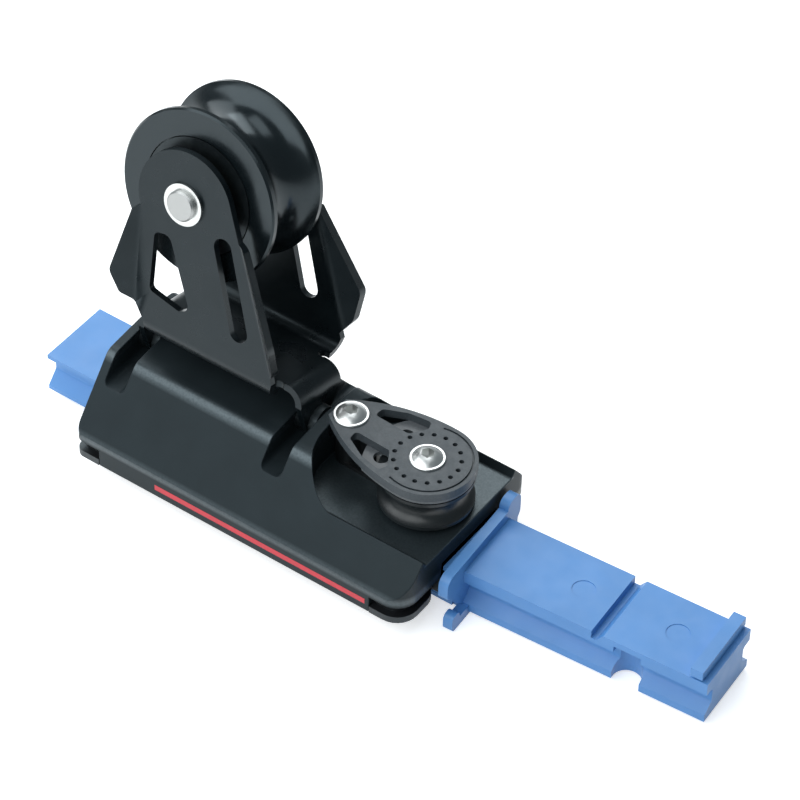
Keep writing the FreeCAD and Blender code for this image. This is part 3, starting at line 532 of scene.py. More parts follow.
def solid(name, points, faces):
    """A closed object from points in mm; doubled points are merged and faces turned outward."""
    made = new_object(name, (points * MM).tolist(), faces)
    close_up(made.data)
    return made


def close_up(mesh):
    """Merge doubled points and turn all faces outward."""
    edit = bmesh.new()
    edit.from_mesh(mesh)
    bmesh.ops.remove_doubles(edit, verts=edit.verts, dist=1e-7)
    bmesh.ops.recalc_face_normals(edit, faces=edit.faces)
    edit.to_mesh(mesh)
    edit.free()


def combined(base, others, operation):
    """Join other solids to a solid or cut them out of it."""
    for other in others:
        tool = base.modifiers.new("combine", "BOOLEAN")
        tool.operation = operation
        tool.solver = "EXACT"
        tool.object = other
    graph = bpy.context.evaluated_depsgraph_get()
    mesh = bpy.data.meshes.new_from_object(base.evaluated_get(graph))
    base.modifiers.clear()
    base.data = mesh
    for other in others:
        bpy.data.objects.remove(other)
    return base


def placed(piece, x, turn, material, body, nodes, edge=0.0):
    """Turn a piece about Z, move it along X, finish it and let it stand for CAD nodes."""
    mesh = piece.data
    mesh.transform(Matrix.Translation((x * MM, 0, 0)) @ Matrix.Rotation(math.radians(turn), 4, "Z"))
    mesh.materials.clear()
    mesh.materials.append(material)
    mesh.polygons.foreach_set("use_smooth", np.ones(len(mesh.polygons), bool))
    mesh.set_sharp_from_angle(angle=math.radians(SHARP_ANGLE))
    mesh.update()
    if edge:
        flat = piece.modifiers.new("flatten", "DECIMATE")
        flat.decimate_type = "DISSOLVE"
        flat.angle_limit = math.radians(FLAT_ANGLE)
        bevel = piece.modifiers.new("edge_break", "BEVEL")
        bevel.width = edge
        bevel.segments = 2
        bevel.limit_method = "ANGLE"
        bevel.angle_limit = math.radians(EDGE_ANGLE)
        bevel.harden_normals = True
    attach(piece, body)
    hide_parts(*nodes)
    return piece


# Materials

class Finish:
    """A material built round one principled shader, with helpers for its texture nodes."""

    def __init__(self, name, base, rough, **sockets):
        self.material = bpy.data.materials.new(name)
        self.material.use_nodes = True
        self.tree = self.material.node_tree
        self.shader = self.tree.nodes["Principled BSDF"]
        self.shader.inputs["Base Color"].default_value = (*base, 1)
        self.shader.inputs["Roughness"].default_value = rough
        for socket, value in sockets.items():
            self.shader.inputs[socket.replace("_", " ")].default_value = value
        self.base = base
        self.rough = rough
        self.place = self.node("ShaderNodeTexCoord").outputs["Object"]
        self.normal = None

    def node(self, kind, **settings):
        """A new node of the material, with its settings."""
        made = self.tree.nodes.new(kind)
        for key, value in settings.items():
            setattr(made, key, value)
        return made

    def link(self, start, end):
        self.tree.links.new(start, end)

    def stretched(self, scale, location=(0, 0, 0), rotation=(0, 0, 0)):
        """Object coordinates moved, turned and scaled by a mapping node."""
        mapping = self.node("ShaderNodeMapping", vector_type="POINT")
        mapping.inputs["Scale"].default_value = scale
        mapping.inputs["Location"].default_value = location
        mapping.inputs["Rotation"].default_value = rotation
        self.link(self.place, mapping.inputs["Vector"])
        return mapping.outputs["Vector"]

    def noise(self, size, detail=3.0, place=None, rough=0.5):
        """Noise whose blobs are about size metres across, 0 to 1."""
        made = self.node("ShaderNodeTexNoise")
        made.inputs["Scale"].default_value = 1 / size
        made.inputs["Detail"].default_value = detail
        made.inputs["Roughness"].default_value = rough
        self.link(place or self.place, made.inputs["Vector"])
        return made.outputs["Fac"]

    def spread(self, value, low, high, start=0.3, end=0.7):
        """Map a texture's start to end onto low to high."""
        made = self.node("ShaderNodeMapRange")
        for socket, number in zip(("From Min", "From Max", "To Min", "To Max"), (start, end, low, high)):
            made.inputs[socket].default_value = number
        self.link(value, made.inputs["Value"])
        return made.outputs["Result"]

    def mottle(self, value, dark, light):
        """Vary the base colour between dark and light times itself by a 0 to 1 texture."""
        ramp = self.node("ShaderNodeValToRGB")
        for stop, factor, at in zip(ramp.color_ramp.elements, (dark, light), (0.3, 0.7)):
            stop.color = (*[min(1, c * factor) for c in self.base], 1)
            stop.position = at
        self.link(value, ramp.inputs["Fac"])
        self.link(ramp.outputs["Color"], self.shader.inputs["Base Color"])

    def vary_rough(self, value, less, more):
        """Vary the roughness by a texture, from less below the plain one to more above it."""
        self.link(self.spread(value, self.rough - less, self.rough + more), self.shader.inputs["Roughness"])

    def bump(self, value, depth, strength=1.0):
        """Raise the surface by a texture, depth metres high."""
        made = self.node("ShaderNodeBump")
        made.inputs["Distance"].default_value = depth
        made.inputs["Strength"].default_value = strength
        self.link(value, made.inputs["Height"])
        if self.normal:
            self.link(self.normal, made.inputs["Normal"])
        self.normal = made.outputs["Normal"]
        self.link(self.normal, self.shader.inputs["Normal"])

    def maths(self, operation, first, second):
        """One step of arithmetic on two texture values, or on a value and a number."""
        made = self.node("ShaderNodeMath", operation=operation)
        for socket, value in zip(made.inputs, (first, second)):
            if isinstance(value, (int, float)):
                socket.default_value = value
            else:
                self.link(value, socket)
        return made.outputs[0]

    def turned(self, centre, axis, pitch):
        """Turning marks: 1-D noise over |(p - centre) x axis|, the distance from an axis."""
        offset = self.node("ShaderNodeVectorMath", operation="SUBTRACT")
        offset.inputs[1].default_value = centre
        self.link(self.place, offset.inputs[0])
        product = self.node("ShaderNodeVectorMath", operation="CROSS_PRODUCT")
        product.inputs[1].default_value = axis
        self.link(offset.outputs["Vector"], product.inputs[0])
        radius = self.node("ShaderNodeVectorMath", operation="LENGTH")
        self.link(product.outputs["Vector"], radius.inputs[0])
        noise = self.node("ShaderNodeTexNoise", noise_dimensions="1D")
        noise.inputs["Scale"].default_value = 1 / pitch
        noise.inputs["Detail"].default_value = 2.0
        self.link(radius.outputs["Value"], noise.inputs["W"])
        return noise.outputs["Fac"]

    def between(self, axis, band):
        """1 where an object coordinate lies in the middle of a band in mm, fading to 0 at its ends."""
        start, full, last, end = (level * MM for level in band)
        split = self.node("ShaderNodeSeparateXYZ")
        self.link(self.place, split.inputs[0])
        value = split.outputs[axis]
        rise = self.spread(value, 0, 1, start, full)
        fall = self.spread(value, 1, 0, last, end)
        return self.maths("MULTIPLY", rise, fall)


def noisy(name, base, rough, mottle=None, vary=None, bumps=(), **sockets):
    """A finish varied by noise: its tone, its roughness and its surface, sizes in mm.

    mottle is (size, detail, dark, light), vary is (size, detail, less, more) and each
    bump is (size, detail, depth).
    """
    finish = Finish(name, base, rough, **sockets)
    if mottle:
        size, detail, dark, light = mottle
        finish.mottle(finish.noise(size * MM, detail), dark, light)
    if vary:
        size, detail, less, more = vary
        finish.vary_rough(finish.noise(size * MM, detail), less, more)
    for size, detail, depth in bumps:
        finish.bump(finish.noise(size * MM, detail), depth * MM)
    return finish


def blasted_aluminium(name, base, rough, specular):
    """Anodised aluminium: fine blasting grain, faint draw lines along X, burnished where it wears."""
    finish = Finish(name, base, rough, Specular_IOR_Level=specular, Specular_Tint=COOL)
    grain = finish.noise(0.35 * MM, 2.0)
    lines = finish.noise(1.0, 3.0, finish.stretched((30, 2600, 2600)))
    finish.mottle(finish.noise(18 * MM, 4.0), 0.88, 1.14)
    lip = finish.between("Z", LIP_WEAR)
    crease = finish.between("Z", CREASE_WEAR)
    pocket = finish.between("X", MILLED_X)
    floor = finish.between("Z", MILLED_Z)
    inside = finish.between("Y", MILLED_Y)
    burnished = finish.maths("ADD", lip, crease)
    milled = finish.maths("MULTIPLY", pocket, finish.maths("MULTIPLY", floor, inside))
    worn = finish.maths("MAXIMUM", burnished, finish.maths("MULTIPLY", milled, MILLED_SHARE))
    patch = finish.maths("MULTIPLY", worn, finish.spread(finish.noise(0.9 * MM, 3.0), 0.7, 1.1))
    finish.link(finish.spread(patch, specular, 1.0, 0, 1), finish.shader.inputs["Specular IOR Level"])
    finish.link(finish.spread(patch, rough, rough - 0.10, 0, 1), finish.shader.inputs["Roughness"])
    finish.bump(lines, 0.004 * MM)
    finish.bump(grain, 0.014 * MM)
    return finish.material


# Operators

class LEADCAR_OT_car(Operator):
    """Finish the car body and its end caps"""
    bl_idname = "leadcar.car"
    bl_label = "Car body"

    def execute(self, context):
        look = context.scene.leadcar_body
        coat = blasted_aluminium("car_anodised", look.coat, look.sheen, 0.24)
        body = placed(self.make_body(), 0, 0, coat, "car", ["car_body"], look.edge)
        body.modifiers["edge_break"].use_clamp_overlap = False
        plastic = noisy(
            "cap_plastic", look.cap, 0.38, vary=(3, 3, 0.05, 0.08), bumps=[(0.5, 3, 0.010)],
            Specular_Tint=COOL)
        ends = (("right", 1, RIGHT_CAP, RIGHT_PLAN_R), ("left", -1, LEFT_CAP, LEFT_PLAN_R))
        for side, y_sign in (("near", -1), ("far", 1)):
            for end, x_sign, run, corner in ends:
                cap = self.make_cap(side + "_" + end + "_ball_return", x_sign, y_sign, run, corner)
                placed(cap, 0, 0, plastic.material, "car", [side + "_" + end + "_end_cap"], 0.3 * MM)
        return {"FINISHED"}

    def make_body(self):
        """Extrusion with rounded plan corners, cut by the channel, races, slots, pocket and notches."""
        body = along_x("lead_car_body", rounded(both_sides(CAR_SIDE)), -CAR_END, CAR_END)
        plan = rounded([
            (-CAR_END, -CAR_HALF, LEFT_PLAN_R), (CAR_END, -CAR_HALF, RIGHT_PLAN_R),
            (CAR_END, CAR_HALF, RIGHT_PLAN_R), (-CAR_END, CAR_HALF, LEFT_PLAN_R),
        ])
        body = combined(body, [prism("plan", [plan], 0, 100)], "INTERSECT")
        past = CAR_END + 1
        cuts = [
            block("channel", -past, past, -CHANNEL_HALF, CHANNEL_HALF, 0, CHANNEL_TOP),
            along_x("pin_bore", circle(0, HINGE_AT, PIN_BORE_R), -past, POCKET_X + 2),
            self.make_pocket(),
        ]
        for side in (-1, 1):
            for row in RACE_ROWS:
                cuts.append(along_x("race", circle(side * row, RACE_AT, RACE_R), -past, past))
            low, high = sorted((side * CAP_INNER, side * (CAR_HALF + 1)))
            cuts.append(block("notch", CAR_END - RIGHT_CAP, past, low, high, NOTCH_LOW, NOTCH_TOP))
            cuts.append(block("notch", -past, LEFT_CAP - CAR_END, low, high, NOTCH_LOW, NOTCH_TOP))
        for centre in SLOTS:
            left, right = centre - SLOT_HALF, centre + SLOT_HALF
            slot = [(left, SLOT_FLOOR, SLOT_R), (right, SLOT_FLOOR, SLOT_R), (right, 90, 0), (left, 90, 0)]
            cuts.append(across("slot", rounded(slot), -CAR_HALF - 1, CAR_HALF + 1))
        return combined(body, cuts, "DIFFERENCE")

    def make_pocket(self):
        """What is milled away over the pocket floor, between sloping rims and a round end wall."""
        reach = POCKET_HALF + POCKET_SLOPE * POCKET_RISE
        top = POCKET_Z + POCKET_RISE
        section = rounded([
            (-POCKET_HALF, POCKET_Z, POCKET_FLOOR_R), (POCKET_HALF, POCKET_Z, POCKET_FLOOR_R),
            (reach, top, 0), (-reach, top, 0),
        ])
        wall = rounded([
            (POCKET_X, -POCKET_WALL_HALF, POCKET_WALL_R), (200, -POCKET_WALL_HALF, 0),
            (200, POCKET_WALL_HALF, 0), (POCKET_X, POCKET_WALL_HALF, POCKET_WALL_R),
        ], 24)
        level = along_x("pocket", section, POCKET_X - 1, 190)
        return combined(level, [prism("wall", [wall], 0, 120)], "INTERSECT")

    def make_cap(self, name, x_sign, y_sign, run, corner):
        """A foot plate that follows the plan corner, with a smaller core above it."""
        start = CAR_END - run + CAP_GAP
        inner = CAP_INNER + CAP_GAP
        plate = [
            (start, inner, 0), (CAR_END, inner, CAP_INNER_R),
            (CAR_END, CAR_HALF, corner), (start, CAR_HALF, 0),
        ]
        core = [
            (start, inner + CAP_GAP, 0), (CAR_END - CAP_STEP, inner + CAP_GAP, 0),
            (CAR_END - CAP_STEP, CAR_HALF - CAP_STEP, max(corner - CAP_STEP, 0)),
            (start, CAR_HALF - CAP_STEP, 0),
        ]
        signs = (x_sign, y_sign)
        cap = prism(name, [rounded(plate) * signs], LIP_BOTTOM, LIP_BOTTOM + CAP_PLATE)
        core = prism("core", [rounded(core) * signs], LIP_BOTTOM + 0.5, NOTCH_TOP - CAP_GAP)
        return combined(cap, [core], "UNION")


class LEADCAR_OT_red_lines(Operator):
    """Lay the thin red line along each lip"""
    bl_idname = "leadcar.red_lines"
    bl_label = "Red lines"

    def execute(self, context):
        look = context.scene.leadcar_body
        paint = noisy("red_line", look.line, 0.35, (4, 3, 0.93, 1.05), bumps=[(0.6, 3, 0.004)])
        low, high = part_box("car_body")
        for name, face, sign in (("near_red_line", low.y, -1), ("far_red_line", high.y, 1)):
            proud, sunk = face + sign * 0.06 * MM, face - sign * 0.25 * MM
            start, end = sorted((sign * -look.line_start, sign * -look.line_end))
            points, faces = soft_bar(
                (start, min(proud, sunk), look.line_low), (end, max(proud, sunk), look.line_high), 0.06 * MM)
            line = new_object(name, points.tolist(), faces.tolist())
            line.data.validate()
            line.data.update()
            line.data.materials.append(paint.material)
            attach(line, "car")
        return {"FINISHED"}


class LEADCAR_OT_housing(Operator):
    """Finish the folded housing"""
    bl_idname = "leadcar.housing"
    bl_label = "Sheave housing"

    def execute(self, context):
        look = context.scene.leadcar_housing
        finish = noisy(
            "housing_black", look.coat, look.sheen, (22, 4, 0.85, 1.2), (9, 4, 0.05, 0.07),
            [(2.4, 2, 0.010), (0.4, 2, 0.005)], Specular_IOR_Level=0.36, Specular_Tint=COOL)
        placed(self.make_housing(), 0, 0, finish.material, "housing", ["sheave_housing"], look.edge)
        return {"FINISHED"}

    def make_housing(self):
        """Sheet folded to a floor, two cheeks, four wings and two tabs, leant back on its hinge."""
        inner = CHEEK_HALF - SHEET
        fold = rounded([
            (-CHEEK_HALF, CHEEK_TOP, 0), (-CHEEK_HALF, FLOOR_H, FOLD_R),
            (CHEEK_HALF, FLOOR_H, FOLD_R), (CHEEK_HALF, CHEEK_TOP, 0),
            (inner, CHEEK_TOP, 0), (inner, FLOOR_H + SHEET, FOLD_R - SHEET),
            (-inner, FLOOR_H + SHEET, FOLD_R - SHEET), (-inner, CHEEK_TOP, 0),
        ], 12)
        housing = along_x("folded_housing", fold, -79, 1)
        axle = np.array([AXLE_X, AXLE_H])
        cheek = np.concatenate([axle + arc(CHEEK_R, *CHEEK_ARC, 48), np.array(CHEEK_EDGE, float)])
        housing = combined(housing, [across("cheek", cheek, -28, 28)], "INTERSECT")
        pieces = [self.make_tabs()]
        for edge, sign, shape in ((RIGHT_EDGE, 1, RIGHT_WING), (LEFT_EDGE, -1, LEFT_WING)):
            for side in (1, -1):
                pieces.append(self.make_wing(np.array(edge), sign, shape, side))
        for side in (-1, 1):
            x = TAB_MIDDLE + side * (TAB_SPAN - SHEET)
            gusset = [
                (x + side * 0.2, FLOOR_H + 0.2, 0), (x - side * GUSSET, FLOOR_H + 0.2, 0),
                (x + side * 0.2, FLOOR_H - GUSSET, 0),
            ]
            pieces.append(across("gusset", rounded(gusset), -GUSSET_HALF, GUSSET_HALF))
        housing = combined(housing, pieces, "UNION")
        window = rounded([(AXLE_X + x, AXLE_H + h, radius) for x, h, radius in LEFT_WINDOW])
        top, foot = axle + np.array(RIGHT_SLOT)
        turn = np.arctan2(*(foot - top)[::-1])
        slot = np.concatenate([
            top + arc(RIGHT_SLOT_R, turn + np.pi / 2, turn + 3 * np.pi / 2, 16),
            foot + arc(RIGHT_SLOT_R, turn - np.pi / 2, turn + np.pi / 2, 16),
        ])
        cuts = [
            across("window", window, -40, 40),
            across("slot", slot, -40, 40),
            across("axle_bore", circle(AXLE_X, AXLE_H, AXLE_BORE_R), -40, 40),
            along_x("pin_bore", circle(0, 0, PIN_BORE_R), -90, 20),
        ]
        for side in (-1, 1):
            cuts.append(prism("relief", [circle(RELIEF_X, side * RELIEF_Y, RELIEF_R)], 12, 22))
        housing = combined(housing, cuts, "DIFFERENCE")
        housing.data.transform(Matrix.Translation((0, 0, HINGE_Z)) @ Matrix.Rotation(-LEAN, 4, "X"))
        return housing

    def make_tabs(self):
        """Floor strip that curls down at each end to a round lug on the hinge."""
        left, right = TAB_MIDDLE - TAB_SPAN, TAB_MIDDLE + TAB_SPAN
        top = FLOOR_H + SHEET
        inner = TAB_FOLD_R - SHEET
        strip = rounded([
            (left, TAB_FOOT, 0), (left, top, TAB_FOLD_R), (right, top, TAB_FOLD_R), (right, TAB_FOOT, 0),
            (right - SHEET, TAB_FOOT, 0), (right - SHEET, FLOOR_H, inner),
            (left + SHEET, FLOOR_H, inner), (left + SHEET, TAB_FOOT, 0),
        ], 14)
        foot = arc(LUG_R, -np.pi + LUG_TURN, -LUG_TURN, 24)[1:-1]
        outline = np.concatenate([foot, rounded(both_sides(LUG_SIDE))])
        lug = along_x("lug", outline, left - 1, right + 1)
        return combined(across("tabs", strip, -TAB_HALF, TAB_HALF), [lug], "INTERSECT")

    def make_wing(self, edge, sign, shape, side):
        """A wing bent 45 degrees out of a cheek's edge and trimmed to a rounded outline.

        u leads out of the edge in the cheek's plane, v away from the cheek, w along the edge.
        """
        top, foot = edge
        run = foot - top
        reach = np.linalg.norm(run)
        run = run / reach
        out = np.array([-run[1], run[0]]) * sign
        outer = np.array([0, BEND_R]) + arc(BEND_R + SHEET, -np.pi / 2, -np.pi / 4, 8)
        inner = np.array([0, BEND_R]) + arc(BEND_R, -np.pi / 4, -np.pi / 2, 8)
        flare = FLARE * math.sqrt(0.5)
        tip = [outer[-1] + flare, inner[0] + flare]
        bend = np.concatenate([[[-SHEET, -SHEET]], outer, tip, inner, [[-SHEET, -2 * HAIR]]])
        strip = prism("wing", [bend], -reach / 10, reach * 1.1)
        first, last = shape[0][1] * reach, shape[-1][1] * reach
        trim = [(u, part * reach, radius) for u, part, radius in shape]
        trim = prism("trim", [rounded([(-4, first, 0)] + trim + [(-4, last, 0)], 12)], -4, 14)
        columns = {"u": (out[0], 0, out[1]), "v": (0, -side, 0), "w": (run[0], 0, run[1])}
        shift = Matrix.Translation((top[0] * MM, -side * CHEEK_HALF * MM, top[1] * MM))
        for piece, order in ((strip, "uvw"), (trim, "uwv")):
            turn = Matrix([columns[key] for key in order]).transposed().to_4x4()
            piece.data.transform(shift @ turn)
            close_up(piece.data)
        return combined(strip, [trim], "INTERSECT")


class LEADCAR_OT_sheaves(Operator):
    """Finish the large sheave, its caps and all bearings"""
    bl_idname = "leadcar.sheaves"
    bl_label = "Sheaves and bearings"

    def execute(self, context):
        look = context.scene.leadcar_sheaves
        finish = noisy(
            "sheave_anodised", look.coat, look.sheen, vary=(7, 3, 0.03, 0.05), Specular_Tint=COOL)
        finish.bump(finish.turned(AXLE_CENTRE, AXLE_AXIS, 0.5 * MM), 0.0012 * MM)
        dress(["main_sheave"], finish.material)
        caps = noisy(
            "bearing_cap", look.cap, 0.36, vary=(3, 3, 0.05, 0.08), bumps=[(0.5, 3, 0.008)],
            Specular_Tint=COOL)
        dress(["near_bearing_cap", "far_bearing_cap"] + WASHER_NODES, caps.material)
        plastic = noisy("bearing_plastic", look.bearing, 0.36, (2, 3, 0.9, 1.1), bumps=[(0.7, 3, 0.003)])
        dress(BEARING_NODES + BALL_NODES, plastic.material)
        return {"FINISHED"}


def egg(inset):
    """Outline of the block's cover about the hub, with its blunt tip towards -X.

    Head: a half circle of radius HEAD_R. Flanks: half width sqrt(F * F - u * u) - (F - HEAD_R)
    at u towards the tip, with F = FLANK_R, as far as the blunt tip at TIP_U.
    """
    u = np.linspace(0, TIP_U - inset, 24)[1:]
    half = np.sqrt((FLANK_R - inset) ** 2 - u ** 2) - (FLANK_R - HEAD_R)
    head = arc(HEAD_R - inset, -np.pi / 2, np.pi / 2, 48)
    flank = np.stack([-u, half], axis=-1)
    return np.concatenate([head, flank, flank[::-1] * (1, -1)])


def button_screw(name, u):
    """A flanged screw with a domed head and a hexagonal socket, u towards the tip."""
    dome = np.linspace(SCREW_DOME_R, 0, 12)
    rise = SCREW_HEAD_H - SCREW_RIM_T
    ball = (SCREW_DOME_R ** 2 + rise ** 2) / (2 * rise)
    level = BLOCK_TOP + SCREW_HEAD_H - ball + np.sqrt(ball ** 2 - dome ** 2)
    shank = BLOCK_TOP - SCREW_SHANK
    profile = [
        (0, shank), (SCREW_SHANK_R, shank), (SCREW_SHANK_R, BLOCK_TOP), (SCREW_RIM_R, BLOCK_TOP),
        (SCREW_RIM_R, BLOCK_TOP + SCREW_RIM_T - SCREW_RIM_BREAK),
        (SCREW_RIM_R - SCREW_RIM_BREAK, BLOCK_TOP + SCREW_RIM_T),
    ]
    profile += np.stack([dome, level], axis=-1).tolist()
    head = revolved(name, profile, -u, 0)
    socket = prism("socket", [circle(-u, 0, SCREW_SOCKET_R, 6)], BLOCK_TOP - 1.0, BLOCK_TOP + 9)
    return combined(head, [socket], "DIFFERENCE")


class LEADCAR_OT_block(Operator):
    """Shape and finish the control-line block"""
    bl_idname = "leadcar.block"
    bl_label = "Control block"

    def execute(self, context):
        look = context.scene.leadcar_block
        cover = noisy(
            "cover_composite", look.cover, 0.46, (0.9, 3, 0.86, 1.16), (3, 3, 0.05, 0.07),
            [(0.45, 2, 0.018)])
        plate = noisy("plate_composite", look.plate, 0.42, (0.9, 3, 0.9, 1.1), bumps=[(0.45, 2, 0.012)])
        dress(["control_hub"], plate.material)
        post = noisy("post_plastic", look.post, 0.42, bumps=[(0.5, 2, 0.010)], Specular_IOR_Level=0.4)
        pieces = (
            (self.make_cover(), cover, "control_cover", 0.35),
            (self.make_plate(), plate, "control_inner_plate", 0.2),
            (self.make_base(), post, "control_base", 0.3),
        )
        for piece, finish, node, edge in pieces:
            placed(piece, HUB_X, -BLOCK_TURN, finish.material, "car", [node], edge * MM)
        moulded = noisy("small_sheave", look.sheave, 0.34, vary=(4, 3, 0.04, 0.07), bumps=[(0.6, 3, 0.006)])
        dress(["control_sheave"], moulded.material)
        return {"FINISHED"}

    def make_cover(self):
        """Egg-shaped cover with a window on each side, a ring of holes and a groove round its head."""
        holes = [circle(0, 0, SCREW_HOLE_R), circle(-TIP_SCREW_U, 0, SCREW_HOLE_R)]
        for side in (1, -1):
            holes.append(rounded([(-u, side * v, radius) for u, v, radius in WINDOW]))
        for turn in (np.arange(RING_HOLES) + 0.5) * 2 * np.pi / RING_HOLES:
            holes.append(circle(RING_R * np.cos(turn), RING_R * np.sin(turn), RING_HOLE_R, 16))
        cover = prism("cover_plate", [egg(0)] + holes, BLOCK_TOP - COVER_T, BLOCK_TOP)
        outer, inner = (arc(HEAD_R - inset, -GROOVE_TURN, GROOVE_TURN, 60) for inset in GROOVE_INSETS)
        ring = np.concatenate([outer, inner[::-1]])
        groove = prism("groove", [ring], BLOCK_TOP - GROOVE_DEPTH, BLOCK_TOP + 1)
        return combined(cover, [groove], "DIFFERENCE")

    def make_plate(self):
        """The lighter plate under the cover, no further than PLATE_R from the hub."""
        flat = egg(PLATE_INSET)
        flat = flat * np.minimum(1, PLATE_R / np.linalg.norm(flat, axis=1))[:, None]
        holes = [circle(0, 0, SCREW_HOLE_R)]
        for side in (1, -1):
            holes.append(circle(-PLATE_HOLE_U, side * PLATE_HOLE_V, PLATE_HOLE_R))
        low = BLOCK_TOP - COVER_T
        return prism("cover_underplate", [flat] + holes, low - PLATE_T, low)

    def make_base(self):
        """Foot, post under the tip screw, and the web between the post and the inner plate."""
        top = BLOCK_TOP - COVER_T
        foot = prism("block_post", [circle(0, 0, FOOT_R, 64)], POCKET_Z, POCKET_Z + FOOT_T)
        added = [
            self.make_bar("neck", 0, NECK_HALF, POCKET_Z, POCKET_Z + NECK_T),
            prism("post", [circle(-TIP_SCREW_U, 0, POST_R, 48)], POCKET_Z, top),
            self.make_bar("web", -WEB_U, WEB_HALF, POCKET_Z + 0.1, top - 0.1),
        ]
        return combined(foot, added, "UNION")

    def make_bar(self, name, end, half, low, high):
        """Upright bar from the tip screw towards the hub."""
        corners = [(-TIP_SCREW_U, -half), (-TIP_SCREW_U, half), (end, half), (end, -half)]
        return prism(name, [np.array(corners, float)], low, high)


class LEADCAR_OT_steel(Operator):
    """Finish the stainless pins, rings and screws"""
    bl_idname = "leadcar.steel"
    bl_label = "Steel parts"

    def execute(self, context):
        look = context.scene.leadcar_steel
        polished = noisy("steel_polished", look.tint, look.sheen, vary=(1.5, 4, 0.04, 0.06), Metallic=1.0)
        dress(STEEL_NODES, polished.material)
        tumbled = noisy(
            "steel_tumbled", look.tint, look.sheen + 0.10, vary=(1.2, 4, 0.04, 0.08), bumps=[(0.8, 2, 0.006)],
            Metallic=1.0)
        for node, u in (("hub_screw", 0), ("tip_screw", TIP_SCREW_U)):
            screw = button_screw(node.replace("_", "_button_"), u)
            placed(screw, HUB_X, -BLOCK_TURN, tumbled.material, "car", [node])
        faced = Finish("steel_faced", [part * 0.62 for part in look.tint], look.sheen + 0.12, Metallic=1.0)
        faced.bump(faced.turned(AXLE_CENTRE, AXLE_AXIS, 0.7 * MM), 0.004 * MM)
        dress(["main_axle"], faced.material)
        return {"FINISHED"}


class LEADCAR_OT_loader(Operator):
    """Shape and finish the moulded loader"""
    bl_idname = "leadcar.loader"
    bl_label = "Loader"

    def execute(self, context):
        look = context.scene.leadcar_loader
        finish = noisy(
            "loader_plastic", look.paint, look.sheen, (26, 4, 0.95, 1.05), (8, 4, 0.05, 0.06),
            [(9, 2, 0.03), (0.5, 2, 0.010)])
        placed(self.make_loader(), 0, 0, finish.material, "loader", ["loader"], look.edge)
        return {"FINISHED"}

    def make_loader(self):
        """Straight part under the car, and the outer part turned BOW degrees about BOW_X."""
        inner = along_x("track_loader", rounded(both_sides(INNER_SIDE)), LOADER_START, LATCH_X + 2)
        ends = LOADER_START + HOLLOW_WALL, LATCH_X - HOLLOW_WALL
        hollow = block("hollow", *ends, -HOLLOW_HALF, HOLLOW_HALF, 0, HOLLOW_TOP)
        inner = combined(inner, [hollow], "DIFFERENCE")
        end = LATCH_X + END_RUN
        outer = along_x("outer", rounded(both_sides(OUTER_SIDE)), LATCH_X, end)
        across_end = end - END_BLOCK_BACK, end - END_BLOCK_FRONT, -RAIL_HALF, RAIL_HALF
        added = [
            block("end_block", *across_end, RAIL_TOP - 1, RAIL_TOP + END_BLOCK_H),
            along_x("fin", rounded(FIN), LATCH_X, LATCH_X + LATCH_T),
            along_x("hook", rounded(HOOK), LATCH_X + HOOK_X, LATCH_X + HOOK_X + LATCH_T),
        ]
        outer = combined(outer, added, "UNION")
        outer = combined(outer, self.make_cuts(end), "DIFFERENCE")
        bow = Matrix.Rotation(math.radians(BOW), 4, "Z")
        pivot = Vector((BOW_X * MM, 0, 0))
        outer.data.transform(Matrix.Translation(pivot) @ bow @ Matrix.Translation(-pivot))
        return combined(inner, [outer], "UNION")

    def make_cuts(self, end):
        """Step groove across the top, scoop, ejector marks and the notches under the end block."""
        step = LATCH_X + STEP_X
        floor = RAIL_TOP - STEP_DEPTH
        above = RAIL_TOP + 0.2
        ramp = [
            (step, floor, 0), (step + STEP_FLOOR, floor, 0), (step + STEP_RAMP, above, 0), (step, above, 0),
        ]
        scoop = LATCH_X + SCOOP_X
        middle = SCOOP_IN - RAIL_HALF
        roof = RAIL_TOP - SCOOP_ROOF
        mouth = scoop - SCOOP_R + HAIR, scoop + SCOOP_R - HAIR
        cuts = [
            across("step", rounded(ramp), -RAIL_HALF - 1, RAIL_HALF + 1),
            prism("scoop", [circle(scoop, middle, SCOOP_R, 48)], 0, roof),
            block("scoop_mouth", *mouth, -RAIL_HALF - 2, middle, 0, roof - HAIR),
        ]
        for run in EJECTOR_XS:
            disc = circle(LATCH_X + run, 0, EJECTOR_R, 48)
            cuts.append(prism("ejector", [disc], RAIL_TOP - EJECTOR_DEPTH, RAIL_TOP + 1))
        for side in (-1, 1):
            low, high = sorted((side * (RAIL_HALF - END_NOTCH_IN), side * (RAIL_HALF + 1)))
            cuts.append(block("notch", end - END_NOTCH_RUN, end + 1, low, high, RAIL_TOP, RAIL_TOP + 1))
        return cuts


